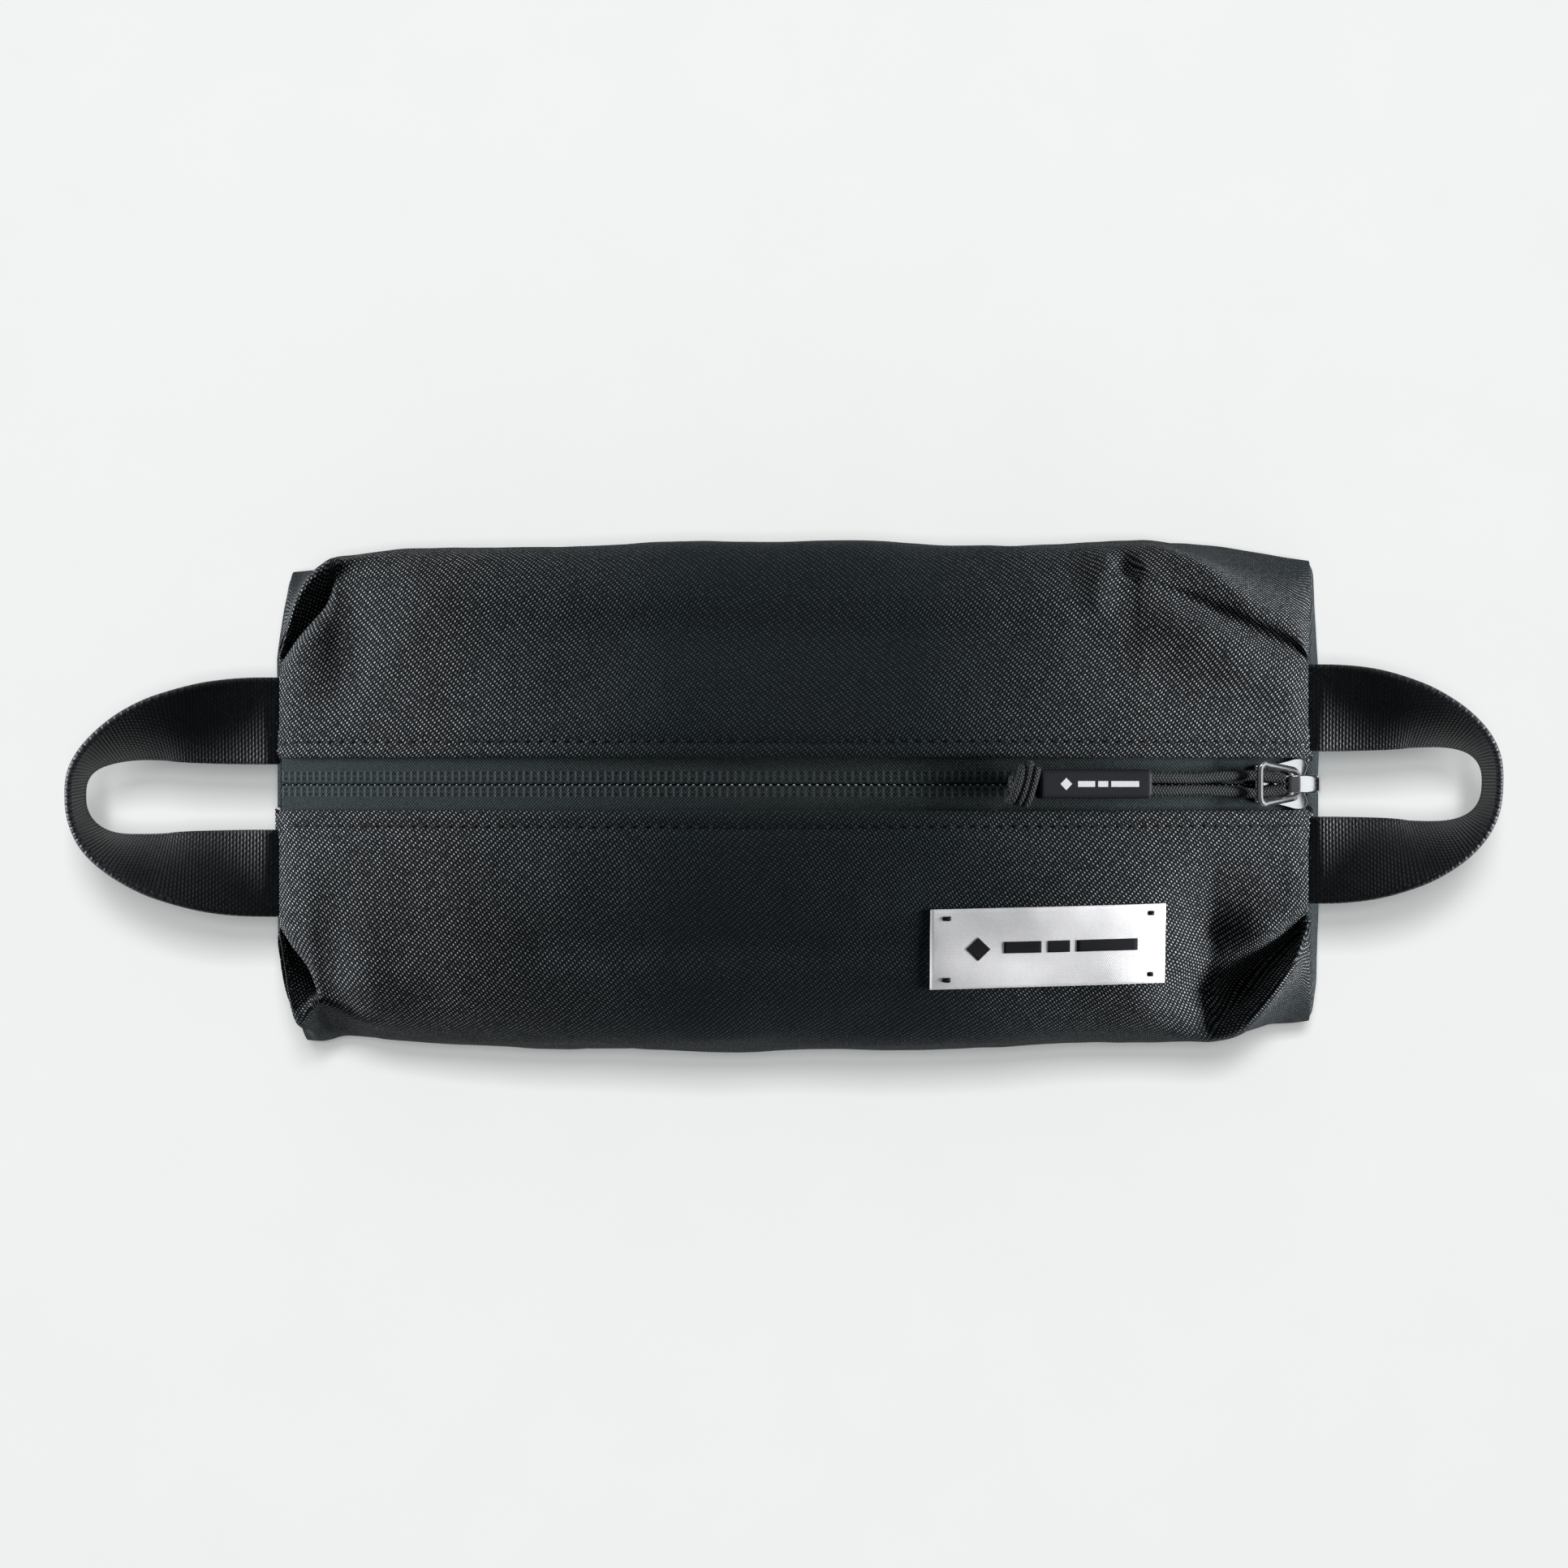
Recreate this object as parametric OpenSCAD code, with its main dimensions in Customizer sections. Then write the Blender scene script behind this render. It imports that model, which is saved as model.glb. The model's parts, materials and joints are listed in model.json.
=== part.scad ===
// Soft shaving kit bag: a boxy fabric body with an arched zip along the top, tucked ends and a webbing
// loop sewn into each end seam. +X runs along the zip towards its closed end, -Y is the labelled front,
// +Z is up, and the origin is on the floor under the middle of the whole bag. Millimetres.

/* [Body] */
// Length of the fabric body between its end seams
body_len = 237; // [200:1:280]
// Width of the flat base
base_w = 108; // [90:1:130]
// How far each long wall bulges past the base at its middle
belly = 4.5; // [0:0.5:8]
// Height of the zip line at the middle of the bag
body_h = 97; // [85:1:115]
// Height of the seam across each end
seam_h = 62; // [50:1:75]
// Width of the seam across each end, between its two tucks
seam_w = 55; // [40:1:70]
// Length of the tuck at each top corner
tuck_len = 17; // [12:1:30]
// Height of the cut-off corner of each end wall
corner_h = 26; // [15:1:40]

/* [Fabric] */
// Thickness of the outer fabric
fabric_t = 1.4; // [0.8:0.1:2]
// Thickness of the lining
lining_t = 0.5; // [0.3:0.1:1]
// Radius of the soft edge along the top of each long wall
top_edge_r = 20; // [12:1:26]
// Radius of the edge between base and wall
base_edge_r = 7; // [4:1:12]
// How much lower the top edges are than the zip line at the middle
top_fall = 9; // [4:1:14]

/* [Zip] */
// Visible width of the zip between the two folded fabric edges
zip_gap_w = 13; // [10:0.5:18]
// Whole width of one tape
tape_w = 12.5; // [10:0.5:16]
// Thickness of the tape
tape_t = 0.6; // [0.4:0.1:1]
// Width of one coil
coil_w = 2.5; // [2:0.1:3.5]
// Height of the coils
coil_h = 1.5; // [1:0.1:2]
// Width of the slider across its shoulders
slider_w = 11; // [9.5:0.5:14]
// Length of the slider
slider_l = 14.5; // [12:0.5:18]

/* [Pull] */
// Length of the ring on the slider
ring_l = 12; // [10:0.5:16]
// Width of the ring's far bar
ring_w = 10; // [8:0.5:12]
// Diameter of the pull cord
cord_d = 2; // [1.6:0.1:2.6]
// Length of the sleeve on the pull cord
sleeve_l = 26; // [18:1:34]
// Width of the sleeve
sleeve_w = 6.8; // [6:0.1:9]

/* [Label] */
// Length of the sewn label
label_l = 55; // [40:1:70]
// Width of the sewn label
label_w = 20; // [14:1:22]
// Distance of the label's middle from the middle of the bag
label_x = 57.5; // [40:0.5:70]
// Distance from the folded edge beside the zip down to the label
label_down = 21; // [14:1:24]

/* [Loops] */
// Width of the webbing
webbing_w = 20; // [15:1:25]
// Thickness of the webbing
webbing_t = 1.6; // [1:0.1:2.5]
// Reach of the left loop's middle line out from the end seam
left_reach = 45; // [30:1:60]
// Reach of the right loop's middle line out from the end seam
right_reach = 40.5; // [30:1:60]
// Distance between the middles of a loop's two legs
leg_gap = 35; // [30:1:44]
// Sideways offset of the left loop
left_offset = -3; // [-5:0.5:5]

/* [Hidden] */
$fn = 48;

HALF = body_len / 2;
BODY_X = (left_reach - right_reach) / 2;
RISE = body_h - seam_h;
ARC_R = (HALF * HALF + RISE * RISE) / (2 * RISE);
ARC_Z = body_h - ARC_R;
END_ANGLE = asin(HALF / ARC_R);
BASE_HALF = base_w / 2;
SEAM_HALF = seam_w / 2;
FOLD_Y = zip_gap_w / 2;
GAP = 0.3;

TAPE_TOP = ARC_R - fabric_t - lining_t - GAP;
COIL_GAP = 0.15;
SLIDER_ANGLE = 30.9;
POST_ANGLE = SLIDER_ANGLE + 0.75;
PLATE_T = 1;
RAIL_T = 0.9;
LOWER_SHORT = 1.5;
POST_W = 2.6;
PLATE_LOW = TAPE_TOP + GAP + 0.15;
PLATE_TOP = PLATE_LOW + PLATE_T;
LOWER_TOP = TAPE_TOP - tape_t - coil_h - GAP - 0.15;
CROWN_W = 3.7;
CROWN_GAP = 3.2;
CROWN_X = 3.6;
RING_D = 1.5;
PIVOT_R = PLATE_TOP + CROWN_GAP / 2;
CORD_R = TAPE_TOP + 1.5;
PULL_UP = 2.1;
RING_TILT = 9.5;
SLEEVE_START = 34;
SLEEVE_T = 4.2;
KNOT_L = 7;
KNOT_W = 10;

// Offsets along the pull and across it of one strand's middle line, from the slider's middle.
STRAND = [
    [-1, 0.95, 2.3], [-4, 1.5, 1.4], [-7, 2, 1.1], [-8.6, 2.15, 0.75], [-12, 2.2, 0.3], [-17.5, 1.9, 0.25],
    [-24, 1.75, 0.8], [-31, 1.6, 1.8], [-38, 1.5, 2.1], [-47.5, 1.5, 2.1], [-59.4, 1.5, 2.1]
];

STATIONS = [for (i = [0:26]) let (s = i / 13 - 1) HALF * sign(s) * (1 - pow(1 - abs(s), 1.6))];

function mix(a, b, s) = a + (b - a) * s;
function smooth(s) = let (c = max(0, min(1, s))) c * c * (3 - 2 * c);
function zip_z(x) = sqrt(ARC_R * ARC_R - x * x) + ARC_Z;
function fall(x) = mix(top_fall, -2, pow(abs(x) / HALF, 2.5));
function tuck(x) = smooth((abs(x) - (HALF - tuck_len)) / tuck_len);
function bulge(x, z, top) = belly * (1 - pow(abs(x) / HALF, 3)) * sin(180 * min(1, z / top));

// One half of the body's outline across the bag, from the base to the folded edge beside the zip.
function full_half(x) =
    let (
        edge_z = zip_z(x) - fall(x), r = top_edge_r * (1 - 0.3 * pow(abs(x) / HALF, 2)),
        wall_top = edge_z - r, side = BASE_HALF, b = base_edge_r
    )
    concat(
        [for (a = [0:30:90]) [side - b + b * sin(a), b - b * cos(a)]],
        [for (i = [1:6]) let (z = mix(b, wall_top, i / 6)) [side + bulge(x, z, edge_z), z]],
        [for (a = [18:18:90]) [
            side - r + r * cos(a) + bulge(x, wall_top + r * sin(a), edge_z) * cos(a),
            wall_top + r * sin(a)
        ]],
        [for (i = [1:5])
            let (y = mix(side - r, FOLD_Y, i / 5), s = max(0, y - tape_w) / (side - r - tape_w))
            [y, zip_z(x) - fall(x) * s * s]]
    );

// The same outline at the end seam, where the corners are tucked away.
function tucked_half(x) =
    let (side = BASE_HALF, b = base_edge_r, z = zip_z(x))
    concat(
        [for (a = [0:30:90]) [side - b + b * sin(a), b - b * cos(a)]],
        [for (i = [1:6]) [side, mix(b, corner_h, i / 6)]],
        [for (i = [1:5]) [mix(side, SEAM_HALF, i / 5), mix(corner_h, z, i / 5)]],
        [for (i = [1:5]) [mix(SEAM_HALF, FOLD_Y, i / 5), z]]
    );

function half(x) =
    let (a = full_half(x), b = tucked_half(x), t = tuck(x))
    [for (i = [0:len(a) - 1]) mix(a[i], b[i], t)];

function unit(v) = v / max(norm(v), 1e-9);
function normal_at(p, i) =
    let (t = unit(p[min(i + 1, len(p) - 1)] - p[max(i - 1, 0)]))
    [t[1], -t[0]];
function inset(p, d) = [for (i = [0:len(p) - 1]) p[i] - d * normal_at(p, i)];

WALL_FROM = 1;
WALL_TO = 14;
TOP_TO = 19;

module grid_solid(outer, inner) {
    rows = len(outer);
    cols = len(outer[0]);
    n = rows * cols;
    points = concat([for (r = outer) for (p = r) p], [for (r = inner) for (p = r) p]);
    function at(i, j, side) = side * n + i * cols + j;
    faces = concat(
        [for (i = [0:rows - 2]) for (j = [0:cols - 2]) each [
            [at(i, j, 0), at(i, j + 1, 0), at(i + 1, j + 1, 0)],
            [at(i, j, 0), at(i + 1, j + 1, 0), at(i + 1, j, 0)],
            [at(i, j, 1), at(i + 1, j + 1, 1), at(i, j + 1, 1)],
            [at(i, j, 1), at(i + 1, j, 1), at(i + 1, j + 1, 1)]
        ]],
        [for (i = [0:rows - 2]) each [
            [at(i, 0, 0), at(i + 1, 0, 0), at(i + 1, 0, 1)],
            [at(i, 0, 0), at(i + 1, 0, 1), at(i, 0, 1)],
            [at(i, cols - 1, 0), at(i + 1, cols - 1, 1), at(i + 1, cols - 1, 0)],
            [at(i, cols - 1, 0), at(i, cols - 1, 1), at(i + 1, cols - 1, 1)]
        ]],
        [for (j = [0:cols - 2]) each [
            [at(0, j, 0), at(0, j + 1, 1), at(0, j + 1, 0)],
            [at(0, j, 0), at(0, j, 1), at(0, j + 1, 1)],
            [at(rows - 1, j, 0), at(rows - 1, j + 1, 0), at(rows - 1, j + 1, 1)],
            [at(rows - 1, j, 0), at(rows - 1, j + 1, 1), at(rows - 1, j, 1)]
        ]]
    );
    polyhedron(points, faces);
}

// A curved sheet of the body between two depths under its surface, on the back, +Y, half.
module skin(from, to, depth_a, depth_b) {
    function layer(d) = [for (x = STATIONS) let (p = inset(half(x), d))
        [for (i = [from:to]) [x, p[i][0], p[i][1]]]];
    translate([BODY_X, 0, 0]) grid_solid(layer(depth_a), layer(depth_b));
}

module front_side() mirror([0, 1, 0]) children();

module at_end(side) translate([BODY_X + side * HALF, 0, 0]) mirror([side < 0 ? 1 : 0, 0, 0]) children();

// A flat sheet that fills the outline of an end, down to the base, at a depth in from the seam.
module end_sheet(inward, thick, depth, low) {
    p = inset(tucked_half(HALF), depth + 0.02);
    edge = [for (i = [3:14]) p[i]];
    outline = concat([[edge[0][0], low]], edge, [for (i = [11:-1:0]) [-edge[i][0], edge[i][1]]],
        [[-edge[0][0], low]]);
    translate([thick - inward, 0, 0]) rotate([90, 0, -90]) linear_extrude(thick) polygon(outline);
}

// Places what is drawn at the top of the zip's arch at an angle along it.
module along_zip(angle) {
    translate([BODY_X, 0, ARC_Z]) rotate([0, angle, 0]) children();
}

// A strip that follows the zip's arch between two angles and two radii.
module arc_strip(y_from, y_to, r_from, r_to, a_from, a_to) {
    translate([BODY_X, 0, ARC_Z]) rotate([90, 0, 0]) rotate([0, 0, 90 - a_to])
        rotate_extrude(angle = a_to - a_from, $fn = 360)
            translate([r_from, -y_to]) square([r_to - r_from, y_to - y_from]);
}

module base_panel() color([0.16, 0.18, 0.19]) {
    inner = BASE_HALF - base_edge_r * 0.5 - GAP;
    translate([BODY_X - HALF, -inner, 0]) cube([body_len, 2 * inner, fabric_t]);
}

module front_panel() color([0.2, 0.22, 0.23]) front_side() skin(WALL_FROM, WALL_TO, 0, fabric_t);

module back_panel() color([0.2, 0.22, 0.23]) skin(WALL_FROM, WALL_TO, 0, fabric_t);

module front_top_panel() color([0.22, 0.24, 0.25]) front_side() skin(WALL_TO, TOP_TO, 0, fabric_t);

module back_top_panel() color([0.22, 0.24, 0.25]) skin(WALL_TO, TOP_TO, 0, fabric_t);

module left_end_panel() color([0.19, 0.21, 0.22])
    at_end(-1) end_sheet(fabric_t, fabric_t, fabric_t, fabric_t);

module right_end_panel() color([0.19, 0.21, 0.22])
    at_end(1) end_sheet(fabric_t, fabric_t, fabric_t, fabric_t);

module base_lining() color([0.35, 0.37, 0.38]) {
    long = HALF - fabric_t - lining_t;
    wide = BASE_HALF - base_edge_r;
    translate([BODY_X - long, -wide, fabric_t]) cube([2 * long, 2 * wide, lining_t]);
}

// The linings stop short of the ends, where the end linings stand.
module lining_cut() {
    long = HALF - fabric_t - lining_t;
    intersection() {
        children();
        translate([BODY_X - long, -body_len, fabric_t + lining_t]) cube([2 * long, 2 * body_len, 2 * body_h]);
    }
}

module front_lining() color([0.35, 0.37, 0.38])
    lining_cut() front_side() skin(WALL_FROM, WALL_TO, fabric_t, fabric_t + lining_t);

module back_lining() color([0.35, 0.37, 0.38])
    lining_cut() skin(WALL_FROM, WALL_TO, fabric_t, fabric_t + lining_t);

module front_top_lining() color([0.35, 0.37, 0.38])
    lining_cut() front_side() skin(WALL_TO, TOP_TO, fabric_t, fabric_t + lining_t);

module back_top_lining() color([0.35, 0.37, 0.38])
    lining_cut() skin(WALL_TO, TOP_TO, fabric_t, fabric_t + lining_t);

module left_end_lining() color([0.35, 0.37, 0.38])
    at_end(-1) end_sheet(fabric_t + lining_t, lining_t, fabric_t, fabric_t + lining_t);

module right_end_lining() color([0.35, 0.37, 0.38])
    at_end(1) end_sheet(fabric_t + lining_t, lining_t, fabric_t, fabric_t + lining_t);

// Folded tape that covers the raw edges of an end seam inside the bag.
module seam_binding() {
    low = seam_h - 14;
    translate([-fabric_t - lining_t - 1.2, -SEAM_HALF + 3, low]) cube([1.2, seam_w - 6, 7]);
}

module left_seam_binding() color([0.1, 0.1, 0.1]) at_end(-1) seam_binding();

module right_seam_binding() color([0.1, 0.1, 0.1]) at_end(1) seam_binding();

// Index in an outline of the point that lies a distance down from its last point, counted along it.
function walk(p, i, d) =
    let (step = norm(p[i - 1] - p[i]))
    d <= step ? i - d / step : walk(p, i - 1, d - step);

function top_point(x, down, lift) =
    let (p = half(x), k = walk(p, TOP_TO, down), i = floor(k), j = min(i + 1, len(p) - 1),
         q = mix(p[i], p[j], k - i), n = unit(mix(normal_at(p, i), normal_at(p, j), k - i)))
    [x, q[0] + lift * n[0], q[1] + lift * n[1]];

// A patch that follows the front top surface, lifted off it a little.
module top_patch(x, long, down, wide, low, high, steps) {
    function layer(lift) = [for (i = [0:steps]) [for (j = [0:steps])
        top_point(x + (i / steps - 0.5) * long, down + j / steps * wide, lift)]];
    translate([BODY_X, 0, 0]) front_side() grid_solid(layer(high), layer(low));
}

module label() color([0.78, 0.78, 0.79]) top_patch(label_x, label_l, label_down, label_w, 0.15, 0.65, 8);

// Short bars of thread at the label's corners.
module label_tacks() color([0.08, 0.08, 0.08])
    for (u = [-0.5, 0.5], v = [2, label_w - 3])
        top_patch(label_x + u * (label_l - 7), 2.4, label_down + v, 0.9, 0.75, 1.05, 1);

module zip_tape() {
    arc_strip(COIL_GAP, tape_w, TAPE_TOP - tape_t, TAPE_TOP, -END_ANGLE + 0.4, SLIDER_ANGLE);
    arc_strip(POST_W / 2 + GAP, tape_w, TAPE_TOP - tape_t, TAPE_TOP, SLIDER_ANGLE, END_ANGLE - 0.5);
}

module back_zip_tape() color([0.13, 0.17, 0.18]) zip_tape();

module front_zip_tape() color([0.13, 0.17, 0.18]) front_side() zip_tape();

// The coil is sewn under its tape, so that only the tapes show from outside.
module zip_coil() {
    top = TAPE_TOP - tape_t;
    arc_strip(COIL_GAP, COIL_GAP + coil_w, top - coil_h, top, -END_ANGLE + 0.4, SLIDER_ANGLE - 0.2);
}

module back_zip_coil() color([0.08, 0.1, 0.1]) zip_coil();

module front_zip_coil() color([0.08, 0.1, 0.1]) front_side() zip_coil();

// Outline of the slider's plates: narrow where the coils leave, wide at the two shoulders.
module plate_outline(short) {
    front = slider_l / 2 - short;
    polygon([
        [-slider_l / 2, -slider_w * 0.38], [-slider_l * 0.1, -slider_w * 0.41], [slider_l * 0.2, -slider_w / 2],
        [front - 2, -slider_w / 2], [front, -slider_w * 0.36], [front - 1.2, 0], [front, slider_w * 0.36],
        [front - 2, slider_w / 2], [slider_l * 0.2, slider_w / 2], [-slider_l * 0.1, slider_w * 0.41],
        [-slider_l / 2, slider_w * 0.38]
    ]);
}

// Upper and lower plates, joined by the post that parts the coils.
module slider_body() color([0.35, 0.36, 0.38]) along_zip(SLIDER_ANGLE) {
    translate([0, 0, PLATE_LOW]) linear_extrude(PLATE_T) plate_outline(0);
    translate([0, 0, LOWER_TOP - PLATE_T]) linear_extrude(PLATE_T) plate_outline(LOWER_SHORT);
    post_x = ARC_R * sin(POST_ANGLE - SLIDER_ANGLE);
    translate([post_x, 0, LOWER_TOP - PLATE_T / 2]) cylinder(d = POST_W, h = PLATE_LOW - LOWER_TOP + PLATE_T);
    for (side = [-1, 1]) {
        translate([-slider_l / 2 + 1, side * (slider_w * 0.36 - RAIL_T / 2) - RAIL_T / 2, LOWER_TOP - PLATE_T / 2])
            cube([slider_l * 0.5, RAIL_T, coil_h - 0.1 + PLATE_T / 2]);
    }
}

// Curved strip over the slider that holds the ring.
module slider_crown() color([0.5, 0.51, 0.53]) along_zip(SLIDER_ANGLE) {
    strip = 1.1;
    half_gap = 2.3;
    high = CROWN_GAP;
    translate([CROWN_X, CROWN_W / 2, PLATE_TOP]) rotate([90, 0, 0]) linear_extrude(CROWN_W)
        difference() {
            polygon([
                [-half_gap - strip, 0], [-half_gap - strip, high * 0.6], [-half_gap, high + strip],
                [half_gap, high + strip], [half_gap + strip, high * 0.8], [half_gap + strip, 0]
            ]);
            polygon([
                [-half_gap, -1], [-half_gap, high * 0.7], [-half_gap + 0.7, high],
                [half_gap - 0.5, high], [half_gap, high * 0.8], [half_gap, -1]
            ]);
        }
}

// Spring pin that locks the slider between the coils.
module slider_lock_pin() color([0.4, 0.4, 0.42]) along_zip(SLIDER_ANGLE)
    translate([CROWN_X + 1, -0.6, PLATE_TOP]) cube([0.9, 1.2, 0.5]);

// Trapezoid ring, hung in the crown by its narrow bar.
module ring_outline(edge) {
    narrow = CROWN_W / 2 + 0.4 + RING_D - edge;
    wide = ring_w / 2 - edge;
    near = RING_D / 2 - edge;
    polygon([
        [near, -narrow], [-2.5, -narrow], [near - ring_l + 1 + 2 * edge, -wide],
        [near - ring_l + 2 * edge, 1 - wide], [near - ring_l + 2 * edge, wide - 1],
        [near - ring_l + 1 + 2 * edge, wide], [-2.5, narrow], [near, narrow]
    ]);
}
module pull_ring() color([0.42, 0.43, 0.45]) along_zip(SLIDER_ANGLE)
    translate([CROWN_X, 0, PIVOT_R - RING_D / 2]) rotate([0, RING_TILT, 0]) linear_extrude(RING_D)
        difference() {
            ring_outline(0);
            ring_outline(RING_D);
        }

// A round tube swept along points given from the slider's middle as along, across and up.
function pull_point(p) =
    let (a = SLIDER_ANGLE + p[0] / ARC_R * 180 / PI, r = CORD_R + p[2])
    [BODY_X + r * sin(a), p[1], ARC_Z + r * cos(a)];
module tube(path, d) {
    sides = 8;
    n = len(path);
    rings = [for (i = [0:n - 1])
        let (t = unit(path[min(i + 1, n - 1)] - path[max(i - 1, 0)]), u = unit(cross(t, [0, 1, 0])),
             v = cross(u, t))
        [for (k = [0:sides - 1]) path[i] + d / 2 * (cos(k * 360 / sides) * u + sin(k * 360 / sides) * v)]];
    faces = concat(
        [[for (k = [0:sides - 1]) k]],
        [[for (k = [sides - 1:-1:0]) (n - 1) * sides + k]],
        [for (i = [0:n - 2]) for (k = [0:sides - 1]) let (m = (k + 1) % sides) each [
            [i * sides + k, (i + 1) * sides + m, i * sides + m],
            [i * sides + k, (i + 1) * sides + k, (i + 1) * sides + m]
        ]]
    );
    polyhedron([for (r = rings) for (p = r) p], faces);
}

// Both strands of the pull, from the crown to the knot.
module pull_cord() color([0.07, 0.07, 0.07])
    for (side = [-1, 1]) tube([for (p = STRAND) pull_point([p[0], side * p[1], p[2]])], cord_d);

function pull_angle(along) = SLIDER_ANGLE - along / ARC_R * 180 / PI;

// Moulded sleeve over both strands.
module cord_sleeve() color([0.05, 0.05, 0.06])
    along_zip(pull_angle(SLEEVE_START + sleeve_l / 2 - 0.5)) {
        bore_w = cord_d + 3.4;
        translate([-sleeve_l / 2, 0, CORD_R + PULL_UP]) rotate([90, 0, 90]) linear_extrude(sleeve_l)
            difference() {
                offset(r = 1.2, $fn = 24) square([sleeve_w - 2.4, SLEEVE_T - 2.4], center = true);
                offset(r = 1.2, $fn = 24) square([bore_w - 2.4, cord_d + 0.6 - 2.4 + 0.4], center = true);
            }
    }

// Stopper knot at the end of the pull.
module cord_knot() color([0.08, 0.09, 0.09])
    along_zip(pull_angle(SLEEVE_START + sleeve_l + KNOT_L / 2 - 0.4))
        translate([0, 0, CORD_R + PULL_UP + 0.5]) hull() {
            for (side = [-1, 1]) {
                translate([0.8 * side, side * (KNOT_W / 2 - 2.6), 0]) sphere(d = 5.2, $fn = 16);
                translate([-0.9 * side, side * (KNOT_W / 2 - 2.8), 0]) sphere(d = 4.6, $fn = 16);
            }
        }

// Webbing that leaves the seam flat and turns to stand on its edge at the tip.
module webbing(reach) {
    steps = 32;
    root = 1.1;
    function middle(a) = [
        root + reach * pow(sin(a), 0.8), leg_gap / 2 * sign(cos(a)) * pow(abs(cos(a)), 0.8), 2 * sin(a)
    ];
    function across(a) =
        let (
            out = unit([leg_gap / 2 * pow(sin(a), 1.2), reach * sign(cos(a)) * pow(abs(cos(a)), 1.2), 0]),
            lean = 86 * pow(sin(a), 0.9)
        )
        [out[0] * cos(lean), out[1] * cos(lean), sin(lean)];
    function row(a, side) =
        let (
            d = across(a), before = max(0, a - 0.5), after = min(180, a + 0.5),
            t = unit(middle(after) - middle(before)), n = unit(cross(t, d))
        )
        [for (k = [-1, 1]) middle(a) + k * webbing_w / 2 * d + side * webbing_t / 2 * n];
    angles = [for (i = [0:steps]) 180 * i / steps];
    grid_solid([for (a = angles) row(a, 1)], [for (a = angles) row(a, -1)]);
}

module left_loop() color([0.06, 0.06, 0.07])
    at_end(-1) translate([0, left_offset, seam_h]) webbing(left_reach);

module right_loop() color([0.06, 0.06, 0.07])
    at_end(1) translate([0, 0, seam_h]) webbing(right_reach);

base_panel();
front_panel();
back_panel();
left_end_panel();
right_end_panel();
front_top_panel();
back_top_panel();
base_lining();
front_lining();
back_lining();
left_end_lining();
right_end_lining();
front_top_lining();
back_top_lining();
left_seam_binding();
right_seam_binding();
label();
label_tacks();
front_zip_tape();
back_zip_tape();
front_zip_coil();
back_zip_coil();
slider_body();
slider_crown();
slider_lock_pin();
pull_ring();
pull_cord();
cord_sleeve();
cord_knot();
left_loop();
right_loop();
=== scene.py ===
"""Looks of the shaving kit bag: tucked fabric body, zip, slider, corded pull, label and webbing loops."""

import json
import math

import bpy
import numpy as np
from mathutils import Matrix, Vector, noise
from mathutils.bvhtree import BVHTree


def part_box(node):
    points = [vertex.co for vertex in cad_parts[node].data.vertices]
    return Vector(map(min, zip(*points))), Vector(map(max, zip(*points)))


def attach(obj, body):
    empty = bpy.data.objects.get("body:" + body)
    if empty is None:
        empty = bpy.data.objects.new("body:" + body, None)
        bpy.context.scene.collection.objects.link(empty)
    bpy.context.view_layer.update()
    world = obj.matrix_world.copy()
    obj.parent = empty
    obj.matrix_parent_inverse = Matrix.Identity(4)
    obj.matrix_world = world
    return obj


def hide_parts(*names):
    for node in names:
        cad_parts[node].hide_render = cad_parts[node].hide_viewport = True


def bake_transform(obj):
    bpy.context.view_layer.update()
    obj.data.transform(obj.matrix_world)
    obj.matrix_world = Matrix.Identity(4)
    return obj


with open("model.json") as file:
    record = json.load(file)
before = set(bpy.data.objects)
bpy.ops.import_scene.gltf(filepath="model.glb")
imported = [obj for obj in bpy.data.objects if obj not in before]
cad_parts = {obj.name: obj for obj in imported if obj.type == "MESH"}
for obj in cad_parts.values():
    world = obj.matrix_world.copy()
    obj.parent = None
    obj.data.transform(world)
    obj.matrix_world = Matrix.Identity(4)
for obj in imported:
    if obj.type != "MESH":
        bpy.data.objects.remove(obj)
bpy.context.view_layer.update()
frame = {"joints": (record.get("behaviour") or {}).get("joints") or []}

# ---- Sizes read from the frame. Shapes are worked out in millimetres and made in metres. ----

MM = 1000.0


def box_mm(node):
    low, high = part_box(node)
    return np.array(low) * MM, np.array(high) * MM


JOINTS = {j["name"]: j for j in frame["joints"]}
BASE_LOW, BASE_HIGH = box_mm("base_panel")
BODY_X = (BASE_LOW[0] + BASE_HIGH[0]) / 2
HALF = (BASE_HIGH[0] - BASE_LOW[0]) / 2
ARC_Z = JOINTS["slider_travel"]["pos_m"][2] * MM
TOP_Z = box_mm("front_top_panel")[1][2]
ARC_R = TOP_Z - ARC_Z
SEAM_Z = ARC_Z + math.sqrt(ARC_R**2 - HALF**2)
END_ANGLE = math.asin(HALF / ARC_R)
TAPE_R = box_mm("back_zip_tape")[1][2] - ARC_Z
# Distances out from the zip to the foot of a long wall, and to the folded edge beside the zip.
SIDE = 53.0
FOLD_Y = 6.4
SLIDER_ANGLE = math.radians(30.9)


def smooth(s):
    s = np.clip(s, 0.0, 1.0)
    return s * s * (3 - 2 * s)


def mix(a, b, s):
    return a + (b - a) * s


def rot_y(angle):
    """Turns +Z towards +X."""
    c, s = math.cos(angle), math.sin(angle)
    return np.array([[c, 0, s], [0, 1, 0], [-s, 0, c]])


def on_arc(points, angle):
    """Places points given from the top of the zip's arch, with Z counted from the arch's centre."""
    placed = np.asarray(points, float) @ rot_y(angle).T
    return placed + np.array([BODY_X, 0, ARC_Z])


# ---- Mesh helpers ----


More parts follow.
